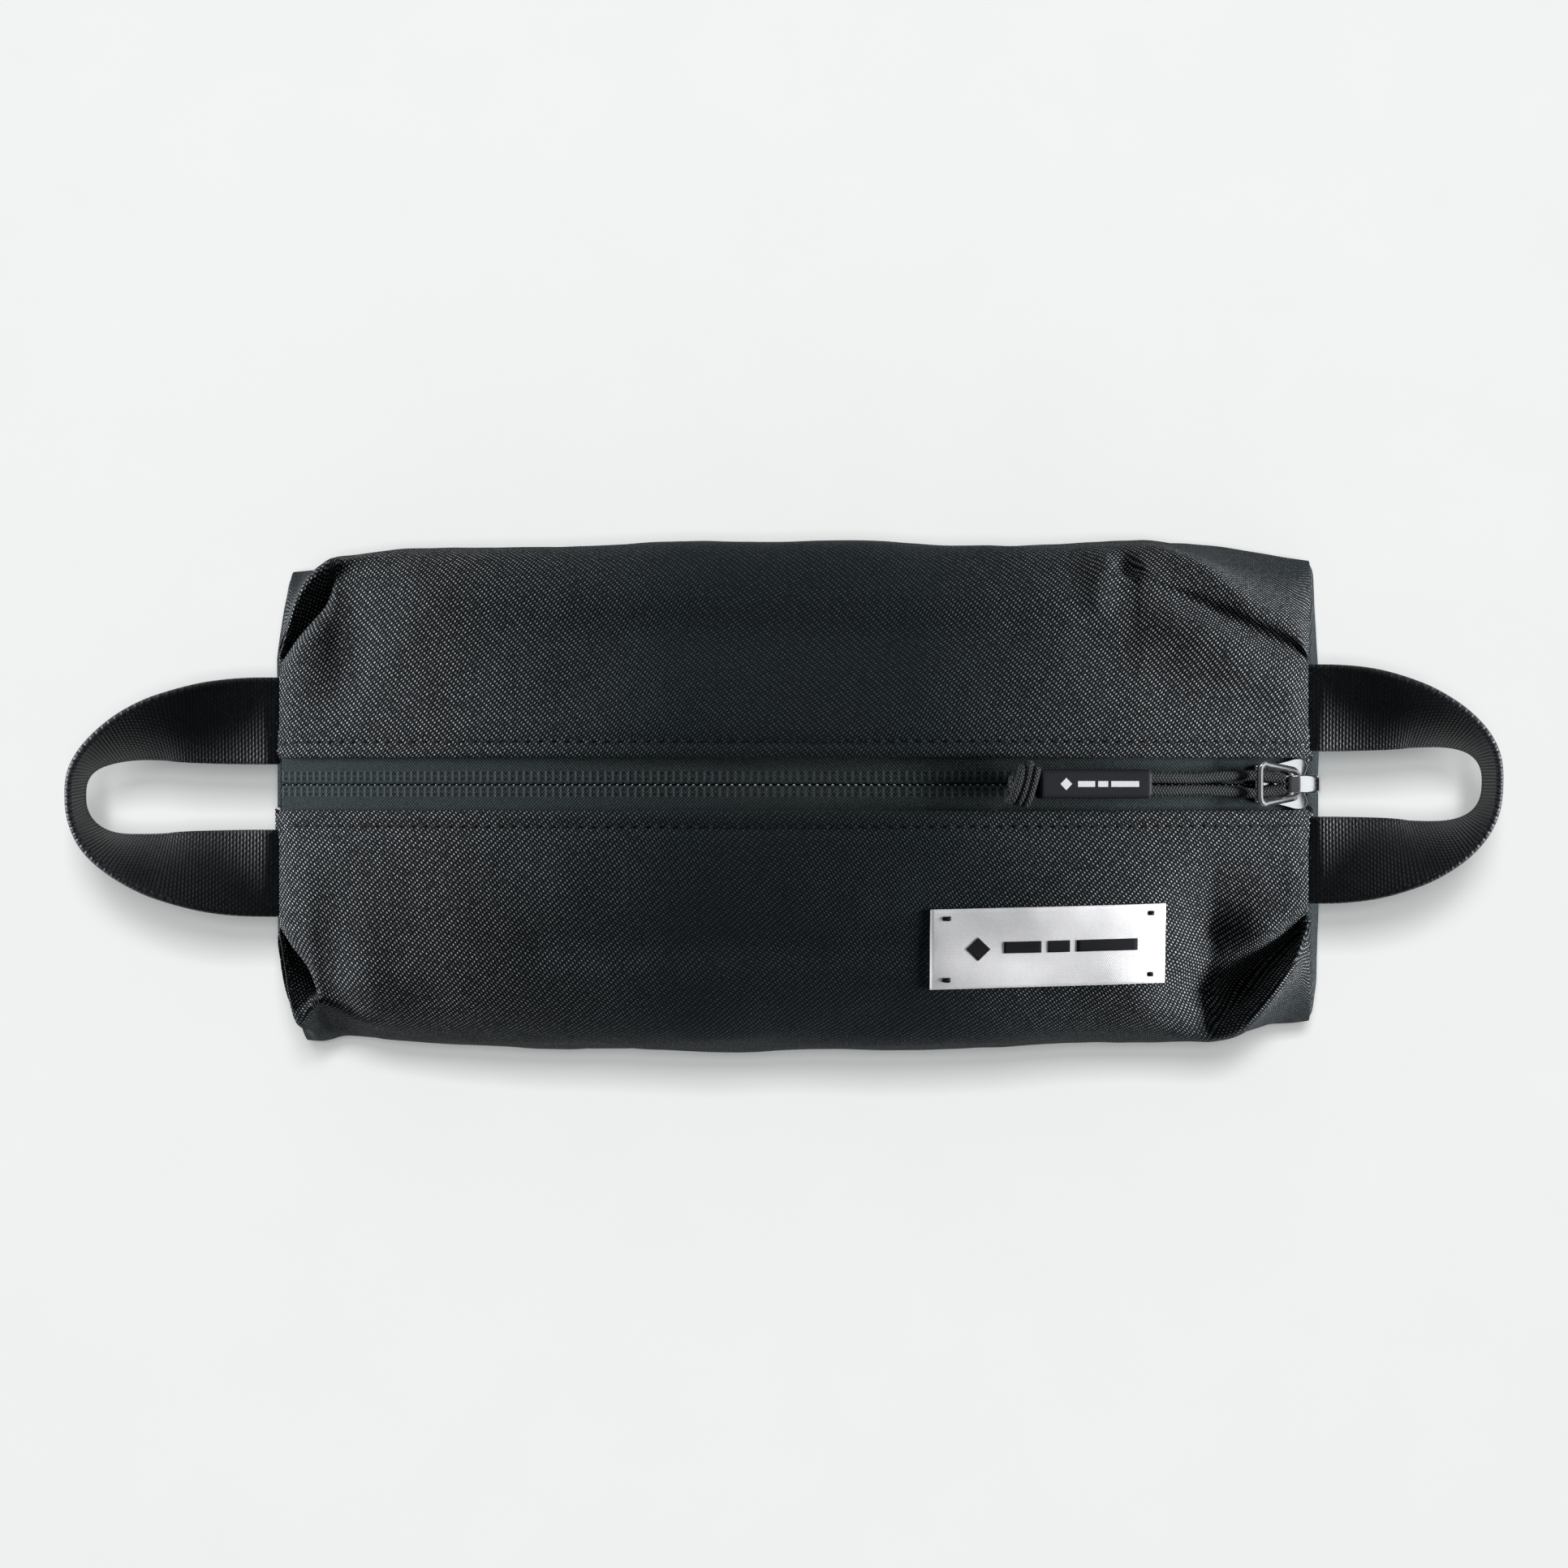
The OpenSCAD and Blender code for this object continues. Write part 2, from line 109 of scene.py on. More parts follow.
def make_mesh(name, points, faces, material, flat=None, flat_shading=False):
    """A mesh object in metres. flat holds each point's place on the flat cloth, in millimetres."""
    mesh = bpy.data.meshes.new(name)
    mesh.from_pydata((np.asarray(points, float) / MM).tolist(), [], [list(f) for f in faces])
    mesh.validate()
    if flat is not None:
        layer = mesh.attributes.new("flat", "FLOAT_VECTOR", "POINT")
        values = np.zeros((len(points), 3), np.float32)
        values[:, : np.shape(flat)[1]] = flat
        layer.data.foreach_set("vector", values.ravel())
    mesh.polygons.foreach_set("use_smooth", [not flat_shading] * len(mesh.polygons))
    mesh.materials.append(material)
    obj = bpy.data.objects.new(name, mesh)
    bpy.context.scene.collection.objects.link(obj)
    return obj


def grid_faces(rows, cols, closed=False, start=0, flip=False):
    faces = []
    for i in range(rows - 1):
        for j in range(cols if closed else cols - 1):
            k = (j + 1) % cols
            here, after = start + i * cols, start + (i + 1) * cols
            quad = [here + j, here + k, after + k, after + j]
            faces.append(quad[::-1] if flip else quad)
    return faces


def coords(obj):
    co = np.zeros(len(obj.data.vertices) * 3)
    obj.data.vertices.foreach_get("co", co)
    return co.reshape(-1, 3) * MM


def set_coords(obj, co):
    obj.data.vertices.foreach_set("co", (np.asarray(co) / MM).ravel())
    obj.data.update()


def apply_modifiers(obj):
    graph = bpy.context.evaluated_depsgraph_get()
    shaped = obj.evaluated_get(graph)
    mesh = bpy.data.meshes.new_from_object(shaped, preserve_all_data_layers=True, depsgraph=graph)
    obj.modifiers.clear()
    obj.data = mesh
    return obj


def thicken(obj, solid, offset=-1.0):
    """Gives cloth its thickness, in millimetres: offset -1 adds it behind the surface, and 1 in front."""
    shell = obj.modifiers.new("thick", "SOLIDIFY")
    shell.thickness = solid / MM
    shell.offset = offset
    shell.use_even_offset = False
    return apply_modifiers(obj)


def bevel(obj, width):
    edge = obj.modifiers.new("edge", "BEVEL")
    edge.width = width / MM
    edge.segments = 3
    edge.limit_method = "ANGLE"
    edge.angle_limit = math.radians(35)
    edge.harden_normals = False
    return apply_modifiers(obj)


def tree_of(*objs):
    """A search tree over some pieces, in millimetres."""
    points, faces = [], []
    for obj in objs:
        start = len(points)
        points.extend(coords(obj).tolist())
        faces.extend([[start + v for v in p.vertices] for p in obj.data.polygons])
    return BVHTree.FromPolygons(points, faces)


# Higher than every piece.
ABOVE = 130.0


def drop(tree, x, y):
    """Where a point let fall at (x, y) lands, and the surface's normal there."""
    place, normal, _, _ = tree.ray_cast(Vector((x, y, ABOVE)), Vector((0, 0, -1)))
    return np.array(place), np.array(normal)


def tube(name, path, radius, material, sides=10, closed=False, squash=1.0, up=(0, 0, 1)):
    """A round or flattened tube along a path, in millimetres."""
    path = np.asarray(path, float)
    n = len(path)
    ahead = np.roll(path, -1, 0) if closed else np.vstack([path[1:], path[-1:]])
    behind = np.roll(path, 1, 0) if closed else np.vstack([path[:1], path[:-1]])
    tangent = ahead - behind
    tangent /= np.linalg.norm(tangent, axis=1)[:, None]
    across = np.cross(tangent, np.array(up, float))
    bad = np.linalg.norm(across, axis=1) < 1e-3
    across[bad] = np.cross(tangent[bad], [0, 1.0, 0])
    across /= np.linalg.norm(across, axis=1)[:, None]
    raised = np.cross(across, tangent)
    radius = np.broadcast_to(np.asarray(radius, float), (n,))
    along = np.concatenate([[0], np.cumsum(np.linalg.norm(np.diff(path, axis=0), axis=1))])
    points, flat = [], []
    for i in range(n):
        for k in range(sides):
            a = 2 * math.pi * k / sides
            points.append(path[i] + radius[i] * (math.cos(a) * across[i] + squash * math.sin(a) * raised[i]))
            flat.append([along[i], a, 0])
    faces = grid_faces(n, sides, closed=True)
    if closed:
        last = (n - 1) * sides
        faces += [[last + k, last + (k + 1) % sides, (k + 1) % sides, k] for k in range(sides)]
    else:
        faces += [list(range(sides))[::-1], list(range((n - 1) * sides, n * sides))]
    return make_mesh(name, points, faces, material, flat)


def dress(obj, slot, *nodes, body=None):
    """Hides the CAD nodes that a piece stands for, and hangs the piece on the body that it rides on. slot,
    the piece's finish, is not used.
    """
    if nodes:
        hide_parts(*nodes)
    if body:
        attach(obj, body)


def joined(name, objs):
    """One object from several that share materials."""
    for o in bpy.context.selected_objects:
        o.select_set(False)
    for o in objs:
        o.select_set(True)
    bpy.context.view_layer.objects.active = objs[0]
    bpy.ops.object.join()
    objs[0].name = name
    objs[0].data.name = name
    return objs[0]


# ---- Materials ----

# Distance from one loop of the coil to the next.
ZIP_PITCH = 1.75


class Value:
    """A number worked out by nodes, which goes into sums like a plain one."""

    def __init__(self, nodes, socket):
        self.nodes = nodes
        self.socket = socket

    def __add__(self, other):
        return self.nodes.math("ADD", self, other)

    def __sub__(self, other):
        return self.nodes.math("SUBTRACT", self, other)

    def __rsub__(self, other):
        return self.nodes.math("SUBTRACT", other, self)

    def __mul__(self, other):
        return self.nodes.math("MULTIPLY", self, other)

    def __truediv__(self, other):
        return self.nodes.math("DIVIDE", self, other)

    def __pow__(self, other):
        return self.nodes.math("POWER", self, other)

    def __gt__(self, other):
        return self.nodes.math("GREATER_THAN", self, other)

    def __lt__(self, other):
        return self.nodes.math("LESS_THAN", self, other)


class Nodes:
    """Short ways to add nodes to a material."""

    def __init__(self, name):
        self.material = bpy.data.materials.new(name)
        self.material.use_nodes = True
        self.tree = self.material.node_tree
        self.shader = self.tree.nodes["Principled BSDF"]

    def add(self, kind, **settings):
        node = self.tree.nodes.new(kind)
        for key, value in settings.items():
            setattr(node, key, value)
        return node

    def link(self, source, target):
        self.tree.links.new(source.socket if isinstance(source, Value) else source, target)

    def feed(self, socket, value):
        if isinstance(value, (int, float)):
            socket.default_value = value
        elif isinstance(value, (tuple, list)):
            colour = len(socket.default_value) == 4 and len(value) == 3
            socket.default_value = (*value, 1.0) if colour else value
        else:
            self.link(value, socket)

    def math(self, operation, *values):
        node = self.add("ShaderNodeMath", operation=operation)
        for socket, value in zip(node.inputs, values):
            self.feed(socket, value)
        return Value(self, node.outputs[0])

    def fract(self, value):
        return self.math("FRACT", value)

    def flat(self):
        """The place on the flat cloth, in millimetres, as two numbers."""
        read = self.add("ShaderNodeAttribute", attribute_name="flat")
        split = self.add("ShaderNodeSeparateXYZ")
        self.link(read.outputs["Vector"], split.inputs[0])
        return Value(self, split.outputs[0]), Value(self, split.outputs[1])

    def place(self):
        return self.add("ShaderNodeTexCoord").outputs["Object"]

    def noise(self, scale, detail=2.0, vector=None):
        node = self.add("ShaderNodeTexNoise")
        node.inputs["Scale"].default_value = scale
        node.inputs["Detail"].default_value = detail
        node.inputs["Roughness"].default_value = 0.5
        self.link(vector or self.place(), node.inputs["Vector"])
        return Value(self, node.outputs[0])

    def random(self, x, y):
        """One random number for each pair of whole numbers."""
        pair = self.add("ShaderNodeCombineXYZ")
        self.link(x, pair.inputs[0])
        self.link(y, pair.inputs[1])
        node = self.add("ShaderNodeTexWhiteNoise", noise_dimensions="3D")
        self.link(pair.outputs[0], node.inputs["Vector"])
        return Value(self, node.outputs[0])

    def ramp(self, value, low, high):
        node = self.add("ShaderNodeMapRange", clamp=True)
        self.feed(node.inputs["Value"], value)
        node.inputs["To Min"].default_value = low
        node.inputs["To Max"].default_value = high
        return Value(self, node.outputs[0])

    def colours(self, factor, a, b):
        node = self.add("ShaderNodeMix", data_type="RGBA")
        for k, value in ((0, factor), (6, a), (7, b)):
            self.feed(node.inputs[k], value)
        return node.outputs[2]

    def bump(self, height, distance, strength=1.0):
        node = self.add("ShaderNodeBump")
        node.inputs["Distance"].default_value = distance / MM
        node.inputs["Strength"].default_value = strength
        self.link(height, node.inputs["Height"])
        return node.outputs[0]

    def finish(self, colour, roughness, normal=None, **uniform):
        self.feed(self.shader.inputs["Base Color"], colour)
        self.feed(self.shader.inputs["Roughness"], roughness)
        if normal is not None:
            self.link(normal, self.shader.inputs["Normal"])
        for key, value in uniform.items():
            self.feed(self.shader.inputs[key.replace("_", " ")], value)
        return self.material


def yarn_cells(n, u, v, pitch_u, pitch_v):
    """Height of staggered yarn bumps, and one random number for each."""
    row_at = v / pitch_v
    row = n.math("FLOOR", row_at)
    across = row_at - row - 0.5
    along_at = u / pitch_u + row * 0.5
    cell = n.math("FLOOR", along_at)
    along = along_at - cell - 0.5
    height = n.math("MAXIMUM", 1.0 - (along * along + across * across) * 3.6, 0.0)
    return height, n.random(cell, row)


def twill(n, u, v, yarn):
    """Height of the raised floats of a three-shaft twill, from 0 to 1: three crossing waves."""
    waves = []
    for a, b in ((2, -1), (-1, 2), (1, 1)):
        turn = u * (a / (3 * yarn)) + v * (b / (3 * yarn))
        waves.append(n.math("COSINE", turn * (2 * math.pi)))
    return (waves[0] + waves[1] + waves[2] + 1.5) * (1 / 4.5)


def wobble(n, u, v, far):
    """The flat place, pushed about a little so that no yarn runs dead straight."""
    off = (n.noise(70, 2) - 0.5) * far + (n.noise(520, 1) - 0.5) * (far * 0.5)
    return u + off, v - off


def body_fabric():
    """Coarse coated twill whose raised yarns catch the light one by one. Towards the ends the yarn tops are
    painted paler and the ground between them darker: a painted highlight and painted shade for the side
    light's glints.
    """
    n = Nodes("body_fabric")
    u, v = wobble(n, *n.flat(), 0.5)
    height = twill(n, u, v, 0.5)
    each = n.ramp((n.noise(1500, 1) - 0.32) * 2.8, 0.12, 1.0)
    fine = n.noise(2600, 2)
    dot = n.math("MINIMUM", height**3.6 * (each * 1.5), 1.0)
    # Painted highlight and shade mask: none in the middle, full towards both ends along the top, fading away
    # down the walls.
    painted_end_highlight_and_shade = n.ramp((n.math("ABSOLUTE", u) - 28.0) / 52.0, 0.0, 1.0) * n.ramp((v - 56.0) / 14.0, 1.0, 0.12)
    base = n.colours(n.noise(24, 3), (0.0027, 0.0054, 0.0067), (0.0045, 0.0076, 0.0092))
    base = n.colours(fine, base, (0.0088, 0.0125, 0.0145))
    # Painted shade on the ground between the yarns at the ends, and a painted highlight on the yarn tops
    # there.
    base = n.colours(painted_end_highlight_and_shade, base, (0.0032, 0.0042, 0.005))
    top = n.colours(painted_end_highlight_and_shade, (0.056, 0.068, 0.075), (0.325, 0.343, 0.363))
    return n.finish(n.colours(dot, base, top), 0.95 - dot * 0.6, n.bump(height + fine * 0.3, 0.14),
                    Specular_IOR_Level=0.08)


def lining_fabric():
    """Thin plain-woven lining with a light ripstop grid."""
    n = Nodes("lining_fabric")
    u, v = n.flat()
    height, chance = yarn_cells(n, u, v, 0.5, 0.5)
    lines = n.math("MAXIMUM", n.fract(u / 5.0) > 0.92, n.fract(v / 5.0) > 0.92)
    colour = n.colours(chance * 0.3 + lines * 0.5, (0.055, 0.06, 0.064), (0.11, 0.118, 0.122))
    return n.finish(colour, n.ramp(height, 0.5, 0.36), n.bump(height * 0.4 + lines, 0.12, 0.7))


def tape_fabric(name="zip_tape", stitched=True):
    """Fine woven tape, with the rows of sewing thread that hold the coil underneath."""
    n = Nodes(name)
    u, v = n.flat()
    height = twill(n, u, v, 0.27)
    dot = height**2.0 * n.ramp(n.noise(1900, 2), -0.3, 1.3)
    colour = n.colours(n.noise(90, 2), (0.0035, 0.0072, 0.0085), (0.0075, 0.0125, 0.0135))
    colour = n.colours(dot, colour, (0.085, 0.112, 0.118))
    lift = height
    if stitched:
        out = n.math("ABSOLUTE", v)
        along = n.math("COSINE", u * (2 * math.pi / ZIP_PITCH))
        over = n.math("COSINE", (out - 1.15) * (2 * math.pi / 1.25))
        band = (out > 0.6) * (out < 2.95)
        hole = n.math("MAXIMUM", along, 0.0) * n.math("MAXIMUM", over, 0.0) * band
        hole = n.math("MINIMUM", hole * 2.4, 1.0)
        ridge = n.math("MAXIMUM", along * -1.0, 0.0) ** 2.0 * band
        colour = n.colours(ridge * 0.32, colour, (0.06, 0.078, 0.083))
        colour = n.colours(hole * 0.85, colour, (0.0012, 0.0022, 0.0026))
        lift = height + ridge - hole
    return n.finish(colour, n.ramp(dot, 0.85, 0.5), n.bump(lift, 0.12, 0.9), Specular_IOR_Level=0.14)


def webbing_fabric():
    """Ribbed webbing: small raised yarns in rows across the strap, and a beaded edge."""
    n = Nodes("webbing")
    u, v = n.flat()
    height, chance = yarn_cells(n, v, u, 1.25, 0.78)
    rib = n.math("ABSOLUTE", n.math("SINE", u * (math.pi / 0.78)))
    bead = (n.math("ABSOLUTE", v) > 9.2) * (n.fract(u / 1.5) > 0.45)
    colour = n.colours(height * chance * 0.45 + bead * 0.55, (0.005, 0.007, 0.0095), (0.034, 0.041, 0.048))
    return n.finish(colour, n.ramp(height, 0.6, 0.36), n.bump(height + rib * 0.35, 0.12, 0.9),
                    Specular_IOR_Level=0.3)


def braid():
    """Braided cord: two sets of strands that cross on the slant."""
    n = Nodes("cord_braid")
    u, a = n.flat()
    turn = a * (8 / (2 * math.pi))
    one, two = (n.math("SINE", n.fract(way) * math.pi) for way in (u / 0.8 + turn, u / 0.8 - turn))
    height = one * two
    colour = n.colours(height * n.noise(1500, 2), (0.0025, 0.0035, 0.004), (0.055, 0.064, 0.067))
    return n.finish(colour, n.ramp(height, 0.85, 0.55), n.bump(height, 0.3, 0.9), Specular_IOR_Level=0.2)


def coil_plastic():
    n = Nodes("zip_coil")
    grain = n.noise(700, 2)
    colour = n.colours(grain, (0.1, 0.105, 0.105), (0.2, 0.205, 0.2))
    return n.finish(colour, n.ramp(grain, 0.32, 0.5), n.bump(grain, 0.02, 0.4))


def thread_fabric():
    n = Nodes("thread")
    twist = n.add("ShaderNodeTexWave", wave_type="BANDS", bands_direction="DIAGONAL")
    twist.inputs["Scale"].default_value = 900
    n.link(n.place(), twist.inputs["Vector"])
    colour = n.colours(twist.outputs["Fac"], (0.0016, 0.0026, 0.0032), (0.006, 0.0082, 0.0092))
    return n.finish(colour, 0.75, n.bump(twist.outputs["Fac"], 0.05, 0.6), Specular_IOR_Level=0.12)


def polished_metal(name, dark, light, rough):
    """Plated die-cast metal with faint cloudiness and hairline scratches."""
    n = Nodes(name)
    cloudy = n.noise(120, 3)
    stretched = n.add("ShaderNodeMapping")
    stretched.inputs["Scale"].default_value = (90, 2200, 900)
    n.link(n.place(), stretched.inputs["Vector"])
    hair = n.noise(1.0, 2, vector=stretched.outputs[0])
    return n.finish(n.colours(cloudy, dark, light), cloudy * hair * 0.22 + rough, n.bump(hair, 0.004, 0.25),
                    Metallic=1.0)


def moulded_rubber():
    n = Nodes("sleeve_rubber")
    grain = n.noise(2600, 3)
    colour = n.colours(n.noise(60, 2), (0.0045, 0.0058, 0.0078), (0.0075, 0.009, 0.0115))
    return n.finish(colour, n.ramp(grain, 0.45, 0.62), n.bump(grain, 0.02, 0.5), Specular_IOR_Level=0.1)


def label_cloth():
    """Coated label cloth with a fine weave and faint cloudiness."""
    n = Nodes("label_cloth")
    height, chance = yarn_cells(n, *n.flat(), 0.42, 0.42)
    shade = chance * 0.25 + n.noise(90, 3) * 0.6
    colour = n.colours(shade, (0.55, 0.55, 0.57), (0.71, 0.71, 0.73))
    return n.finish(colour, n.ramp(height, 0.8, 0.62), n.bump(height, 0.05, 0.5))


def print_ink(name, colour):
    n = Nodes(name)
    grain = n.noise(1800, 2)
    darker = tuple(0.8 * c for c in colour)
    return n.finish(n.colours(grain, darker, colour), n.ramp(grain, 0.75, 0.9), n.bump(grain, 0.01, 0.4),
                    Specular_IOR_Level=0.05)


M = {
    "body": body_fabric(),
    "lining": lining_fabric(),
    "tape": tape_fabric(),
    "binding": tape_fabric("binding_tape", False),
    "webbing": webbing_fabric(),
    "cord": braid(),
    "coil": coil_plastic(),
    "thread": thread_fabric(),
    "slider": polished_metal("slider_metal", (0.42, 0.43, 0.45), (0.62, 0.63, 0.65), 0.1),
    "ring": polished_metal("ring_metal", (0.4, 0.405, 0.42), (0.58, 0.59, 0.61), 0.2),
    "sleeve": moulded_rubber(),
    "label": label_cloth(),
    "label_ink": print_ink("label_ink", (0.014, 0.0145, 0.017)),
    "sleeve_ink": print_ink("sleeve_ink", (0.5, 0.5, 0.52)),
}

# ---- Camera: straight above the bag, as the photo's ----

CAMERA_HEIGHT = 1400.0
camera_data = bpy.data.cameras.new("camera")
camera_data.sensor_width = 36
camera_data.lens = 133.9
camera = bpy.data.objects.new("camera", camera_data)
camera.location = (0, 0, CAMERA_HEIGHT / MM)
bpy.context.scene.collection.objects.link(camera)
bpy.context.scene.camera = camera

# ---- The pull: two strands of cord, a sleeve and a stopper knot ----

CORD_D = 2.4
CORD_R = TAPE_R + 1.5
# The middle of the back strand, as (along from the slider, out from the pull's middle, up). The front one
# mirrors it.
STRAND = [
    (-1.0, 0.95, 2.3), (-4.0, 1.5, 1.4), (-7.0, 2.0, 1.1), (-8.6, 2.05, 0.85), (-12.0, 1.85, 0.45),
    (-17.5, 1.6, 0.4), (-24.0, 1.45, 0.7), (-31.0, 1.4, 1.8), (-38.0, 1.4, 2.1), (-47.5, 1.4, 2.1),
    (-61.4, 1.4, 2.1),
]
PULL_UP = 2.1
SLEEVE_FROM, SLEEVE_LONG, SLEEVE_WIDE, SLEEVE_THICK = 36.0, 27.2, 6.6, 4.2
KNOT_AT, KNOT_WIDE = 66.4, 10.2


def pull_point(along, across, up):
    angle = SLIDER_ANGLE + along / ARC_R
    r = CORD_R + up
    return np.array([BODY_X + r * math.sin(angle), across, ARC_Z + r * math.cos(angle)])


def spline(points, step):
    """A smooth line through points, with places about step apart."""
    p = np.asarray(points, float)
    p = np.vstack([2 * p[0] - p[1], p, 2 * p[-1] - p[-2]])
    found = []
    for i in range(1, len(p) - 2):
        count = max(2, int(math.ceil(np.linalg.norm(p[i + 1] - p[i]) / step)))
        for t in np.arange(count) / count:
            found.append(0.5 * (2 * p[i] + (p[i + 1] - p[i - 1]) * t
                                + (2 * p[i - 1] - 5 * p[i] + 4 * p[i + 1] - p[i + 2]) * t**2
                                + (3 * p[i] - p[i - 1] - 3 * p[i + 1] + p[i + 2]) * t**3))
    found.append(p[-2])
    return np.array(found)


strands = []
for side, word in ((1, "back"), (-1, "front")):
    wander = [0.25 * noise.noise(Vector((k * 0.9, side * 3.0, 0))) for k in range(len(STRAND))]
    line = spline([pull_point(a, side * c + (w if a < -3 else 0), u)
                   for (a, c, u), w in zip(STRAND, wander)], 0.5)
    strand = tube(f"pull_strand_{word}", line, CORD_D / 2, M["cord"], sides=20)
    strands.append((strand, line))


def rounded_bar(name, long, wide, thick, material, end_round, steps):
    """A bar along X with a rounded-rectangle section and softened ends."""
    sides, squareness = 40, 0.42
    ring = []
    for k in range(sides):
        a = 2 * math.pi * k / sides
        y, z = (math.copysign(abs(c) ** squareness, c) / 2 for c in (math.cos(a), math.sin(a)))
        ring.append((y * wide, z * thick))
    points, flat = [], []
    for i in range(steps + 1):
        x = -long / 2 * math.cos(math.pi * i / steps)
        edge = min(1.0, (long / 2 - abs(x)) / end_round)
        shrink = end_round * (1 - math.sqrt(max(0.0, 1 - (1 - edge) ** 2)))
        for y, z in ring:
            points.append((x, y * (1 - shrink / (wide / 2)), z * (1 - shrink / (thick / 2))))
            flat.append((x, y))
    faces = grid_faces(steps + 1, sides, closed=True)
    faces += [list(range(sides))[::-1], list(range(steps * sides, (steps + 1) * sides))]
    return make_mesh(name, points, faces, material, flat)


def onto_pull(obj, along, up):
    """Moves a piece drawn at the origin to its place along the pull."""
    angle = SLIDER_ANGLE - along / ARC_R
    set_coords(obj, on_arc(coords(obj) + np.array([0, 0, CORD_R + up]), angle))
    return obj


sleeve = rounded_bar("cord_sleeve_look", SLEEVE_LONG, SLEEVE_WIDE, SLEEVE_THICK, M["sleeve"], 0.9, 40)
onto_pull(sleeve, SLEEVE_FROM + SLEEVE_LONG / 2, PULL_UP)


def knot():
    """Cord wound on the slant round both strands, with a core."""
    turns, count, cord_r = 2.6, 170, 1.05
    path = []
    for i in range(count):
        s = i / (count - 1)
        a = 2 * math.pi * turns * s + 0.6
        grow = 1 + 0.08 * math.sin(5.1 * s + 0.4)
        x = mix(2.2, -2.2, s) + 1.0 * math.cos(a)
        path.append((x, (KNOT_WIDE / 2 - cord_r) * grow * math.cos(a), 1.75 * math.sin(a)))
    wound = tube("knot_wraps", path, cord_r, M["cord"], sides=14)
    core = tube("knot_core", [(-3.1, 0, 0), (-2.4, 0, 0), (2.4, 0, 0), (3.1, 0, 0)], [1.6, 2.4, 2.4, 1.6],
                M["cord"], sides=16, squash=0.62)
    return joined("cord_knot_look", [wound, core])


knot_look = onto_pull(knot(), KNOT_AT, PULL_UP + 0.5)

# ---- The body's surface: a net of control points for each half, rounded as a cubic surface ----

# Distances in from an end seam of the control points along the body.
FROM_END = [0, 0.5, 1.4, 2.6, 4.2, 6.2, 8.4, 10.6, 13, 15.5, 18.5, 22, 28, 36, 48, 62, 78, 96]
# Each corner's tuck, as lines in (distance in from the seam, distance out from the zip): the edge of the
# top's cloth, the valley's floor where it lies open, and the ridge beyond. An undercut tuck is a pocket.
TUCKS = {
    (1, -1): dict(
        edge=[(0, 27.0), (3, 30.6), (5, 33.1), (7.5, 36.1), (10.5, 39.6), (12.4, 42.2), (13.2, 46),
              (13.6, 50)],
        ridge=[(0, 28.6), (2.1, 34.0), (3.1, 37.2), (4.4, 41.2), (6.4, 44.9), (9.3, 47.9), (11.9, 49.9),
               (13.6, 51)],
        depth=7.0, flap=5.0),
    (-1, -1): dict(
        edge=[(0, 32.0), (3.2, 37.2), (6.5, 40.6), (8.4, 43.5), (9.0, 46), (9.3, 48.5)],
        ridge=[(0, 33.5), (1.2, 37.6), (2.0, 44.1), (2.9, 50.5), (4.4, 54.6), (6.0, 53.6), (7.6, 51),
               (9.3, 49)],
        depth=7.5, flap=3.0),
    (1, 1): dict(
        edge=[(0, 24.0), (2, 26.5), (6, 28.8), (12, 31.4), (18, 34.2), (25, 37.0), (33, 38.9), (40, 41)],
        floor=[(0, 26.8), (1.5, 30.0), (6, 32.4), (12, 34.7), (18, 37.3), (25, 40.1), (33, 42.2), (40, 45)],
        ridge=[(0, 29.0), (1.5, 33.0), (6, 35.8), (12, 38.3), (18, 40.9), (25, 43.8), (33, 46), (40, 48)],
        depth=2.6, flap=0.0),
    (-1, 1): dict(
        edge=[(0, 28.2), (2.8, 30.1), (6, 33.0), (11.5, 36.2), (16.9, 39.6), (20.1, 44), (22.4, 50)],
        floor=[(0, 30.0), (1.5, 31.9), (5, 35.8), (9.3, 38.6), (14.1, 43), (17.4, 47.3), (19.5, 51.5),
               (22.4, 54)],
        ridge=[(0, 31.8), (1.2, 35.4), (2.8, 39.4), (6.6, 44.8), (10.4, 50), (14.7, 54.2), (19, 56.2),
               (22.4, 56.6)],
        depth=7.0, flap=5.0),
}
# Columns of the net: a tuck's ridge, the corner of the end wall, and the foot of the long wall.
R_COL, C_COL, LOW_COL = 16, 19, 24


def zip_z(x):
    return math.sqrt(ARC_R**2 - x**2) + ARC_Z


def shift(x, z):
    """The lower body leans a little towards the front."""
    return -(3.0 - x / HALF) * smooth((zip_z(x) - z) / 45)


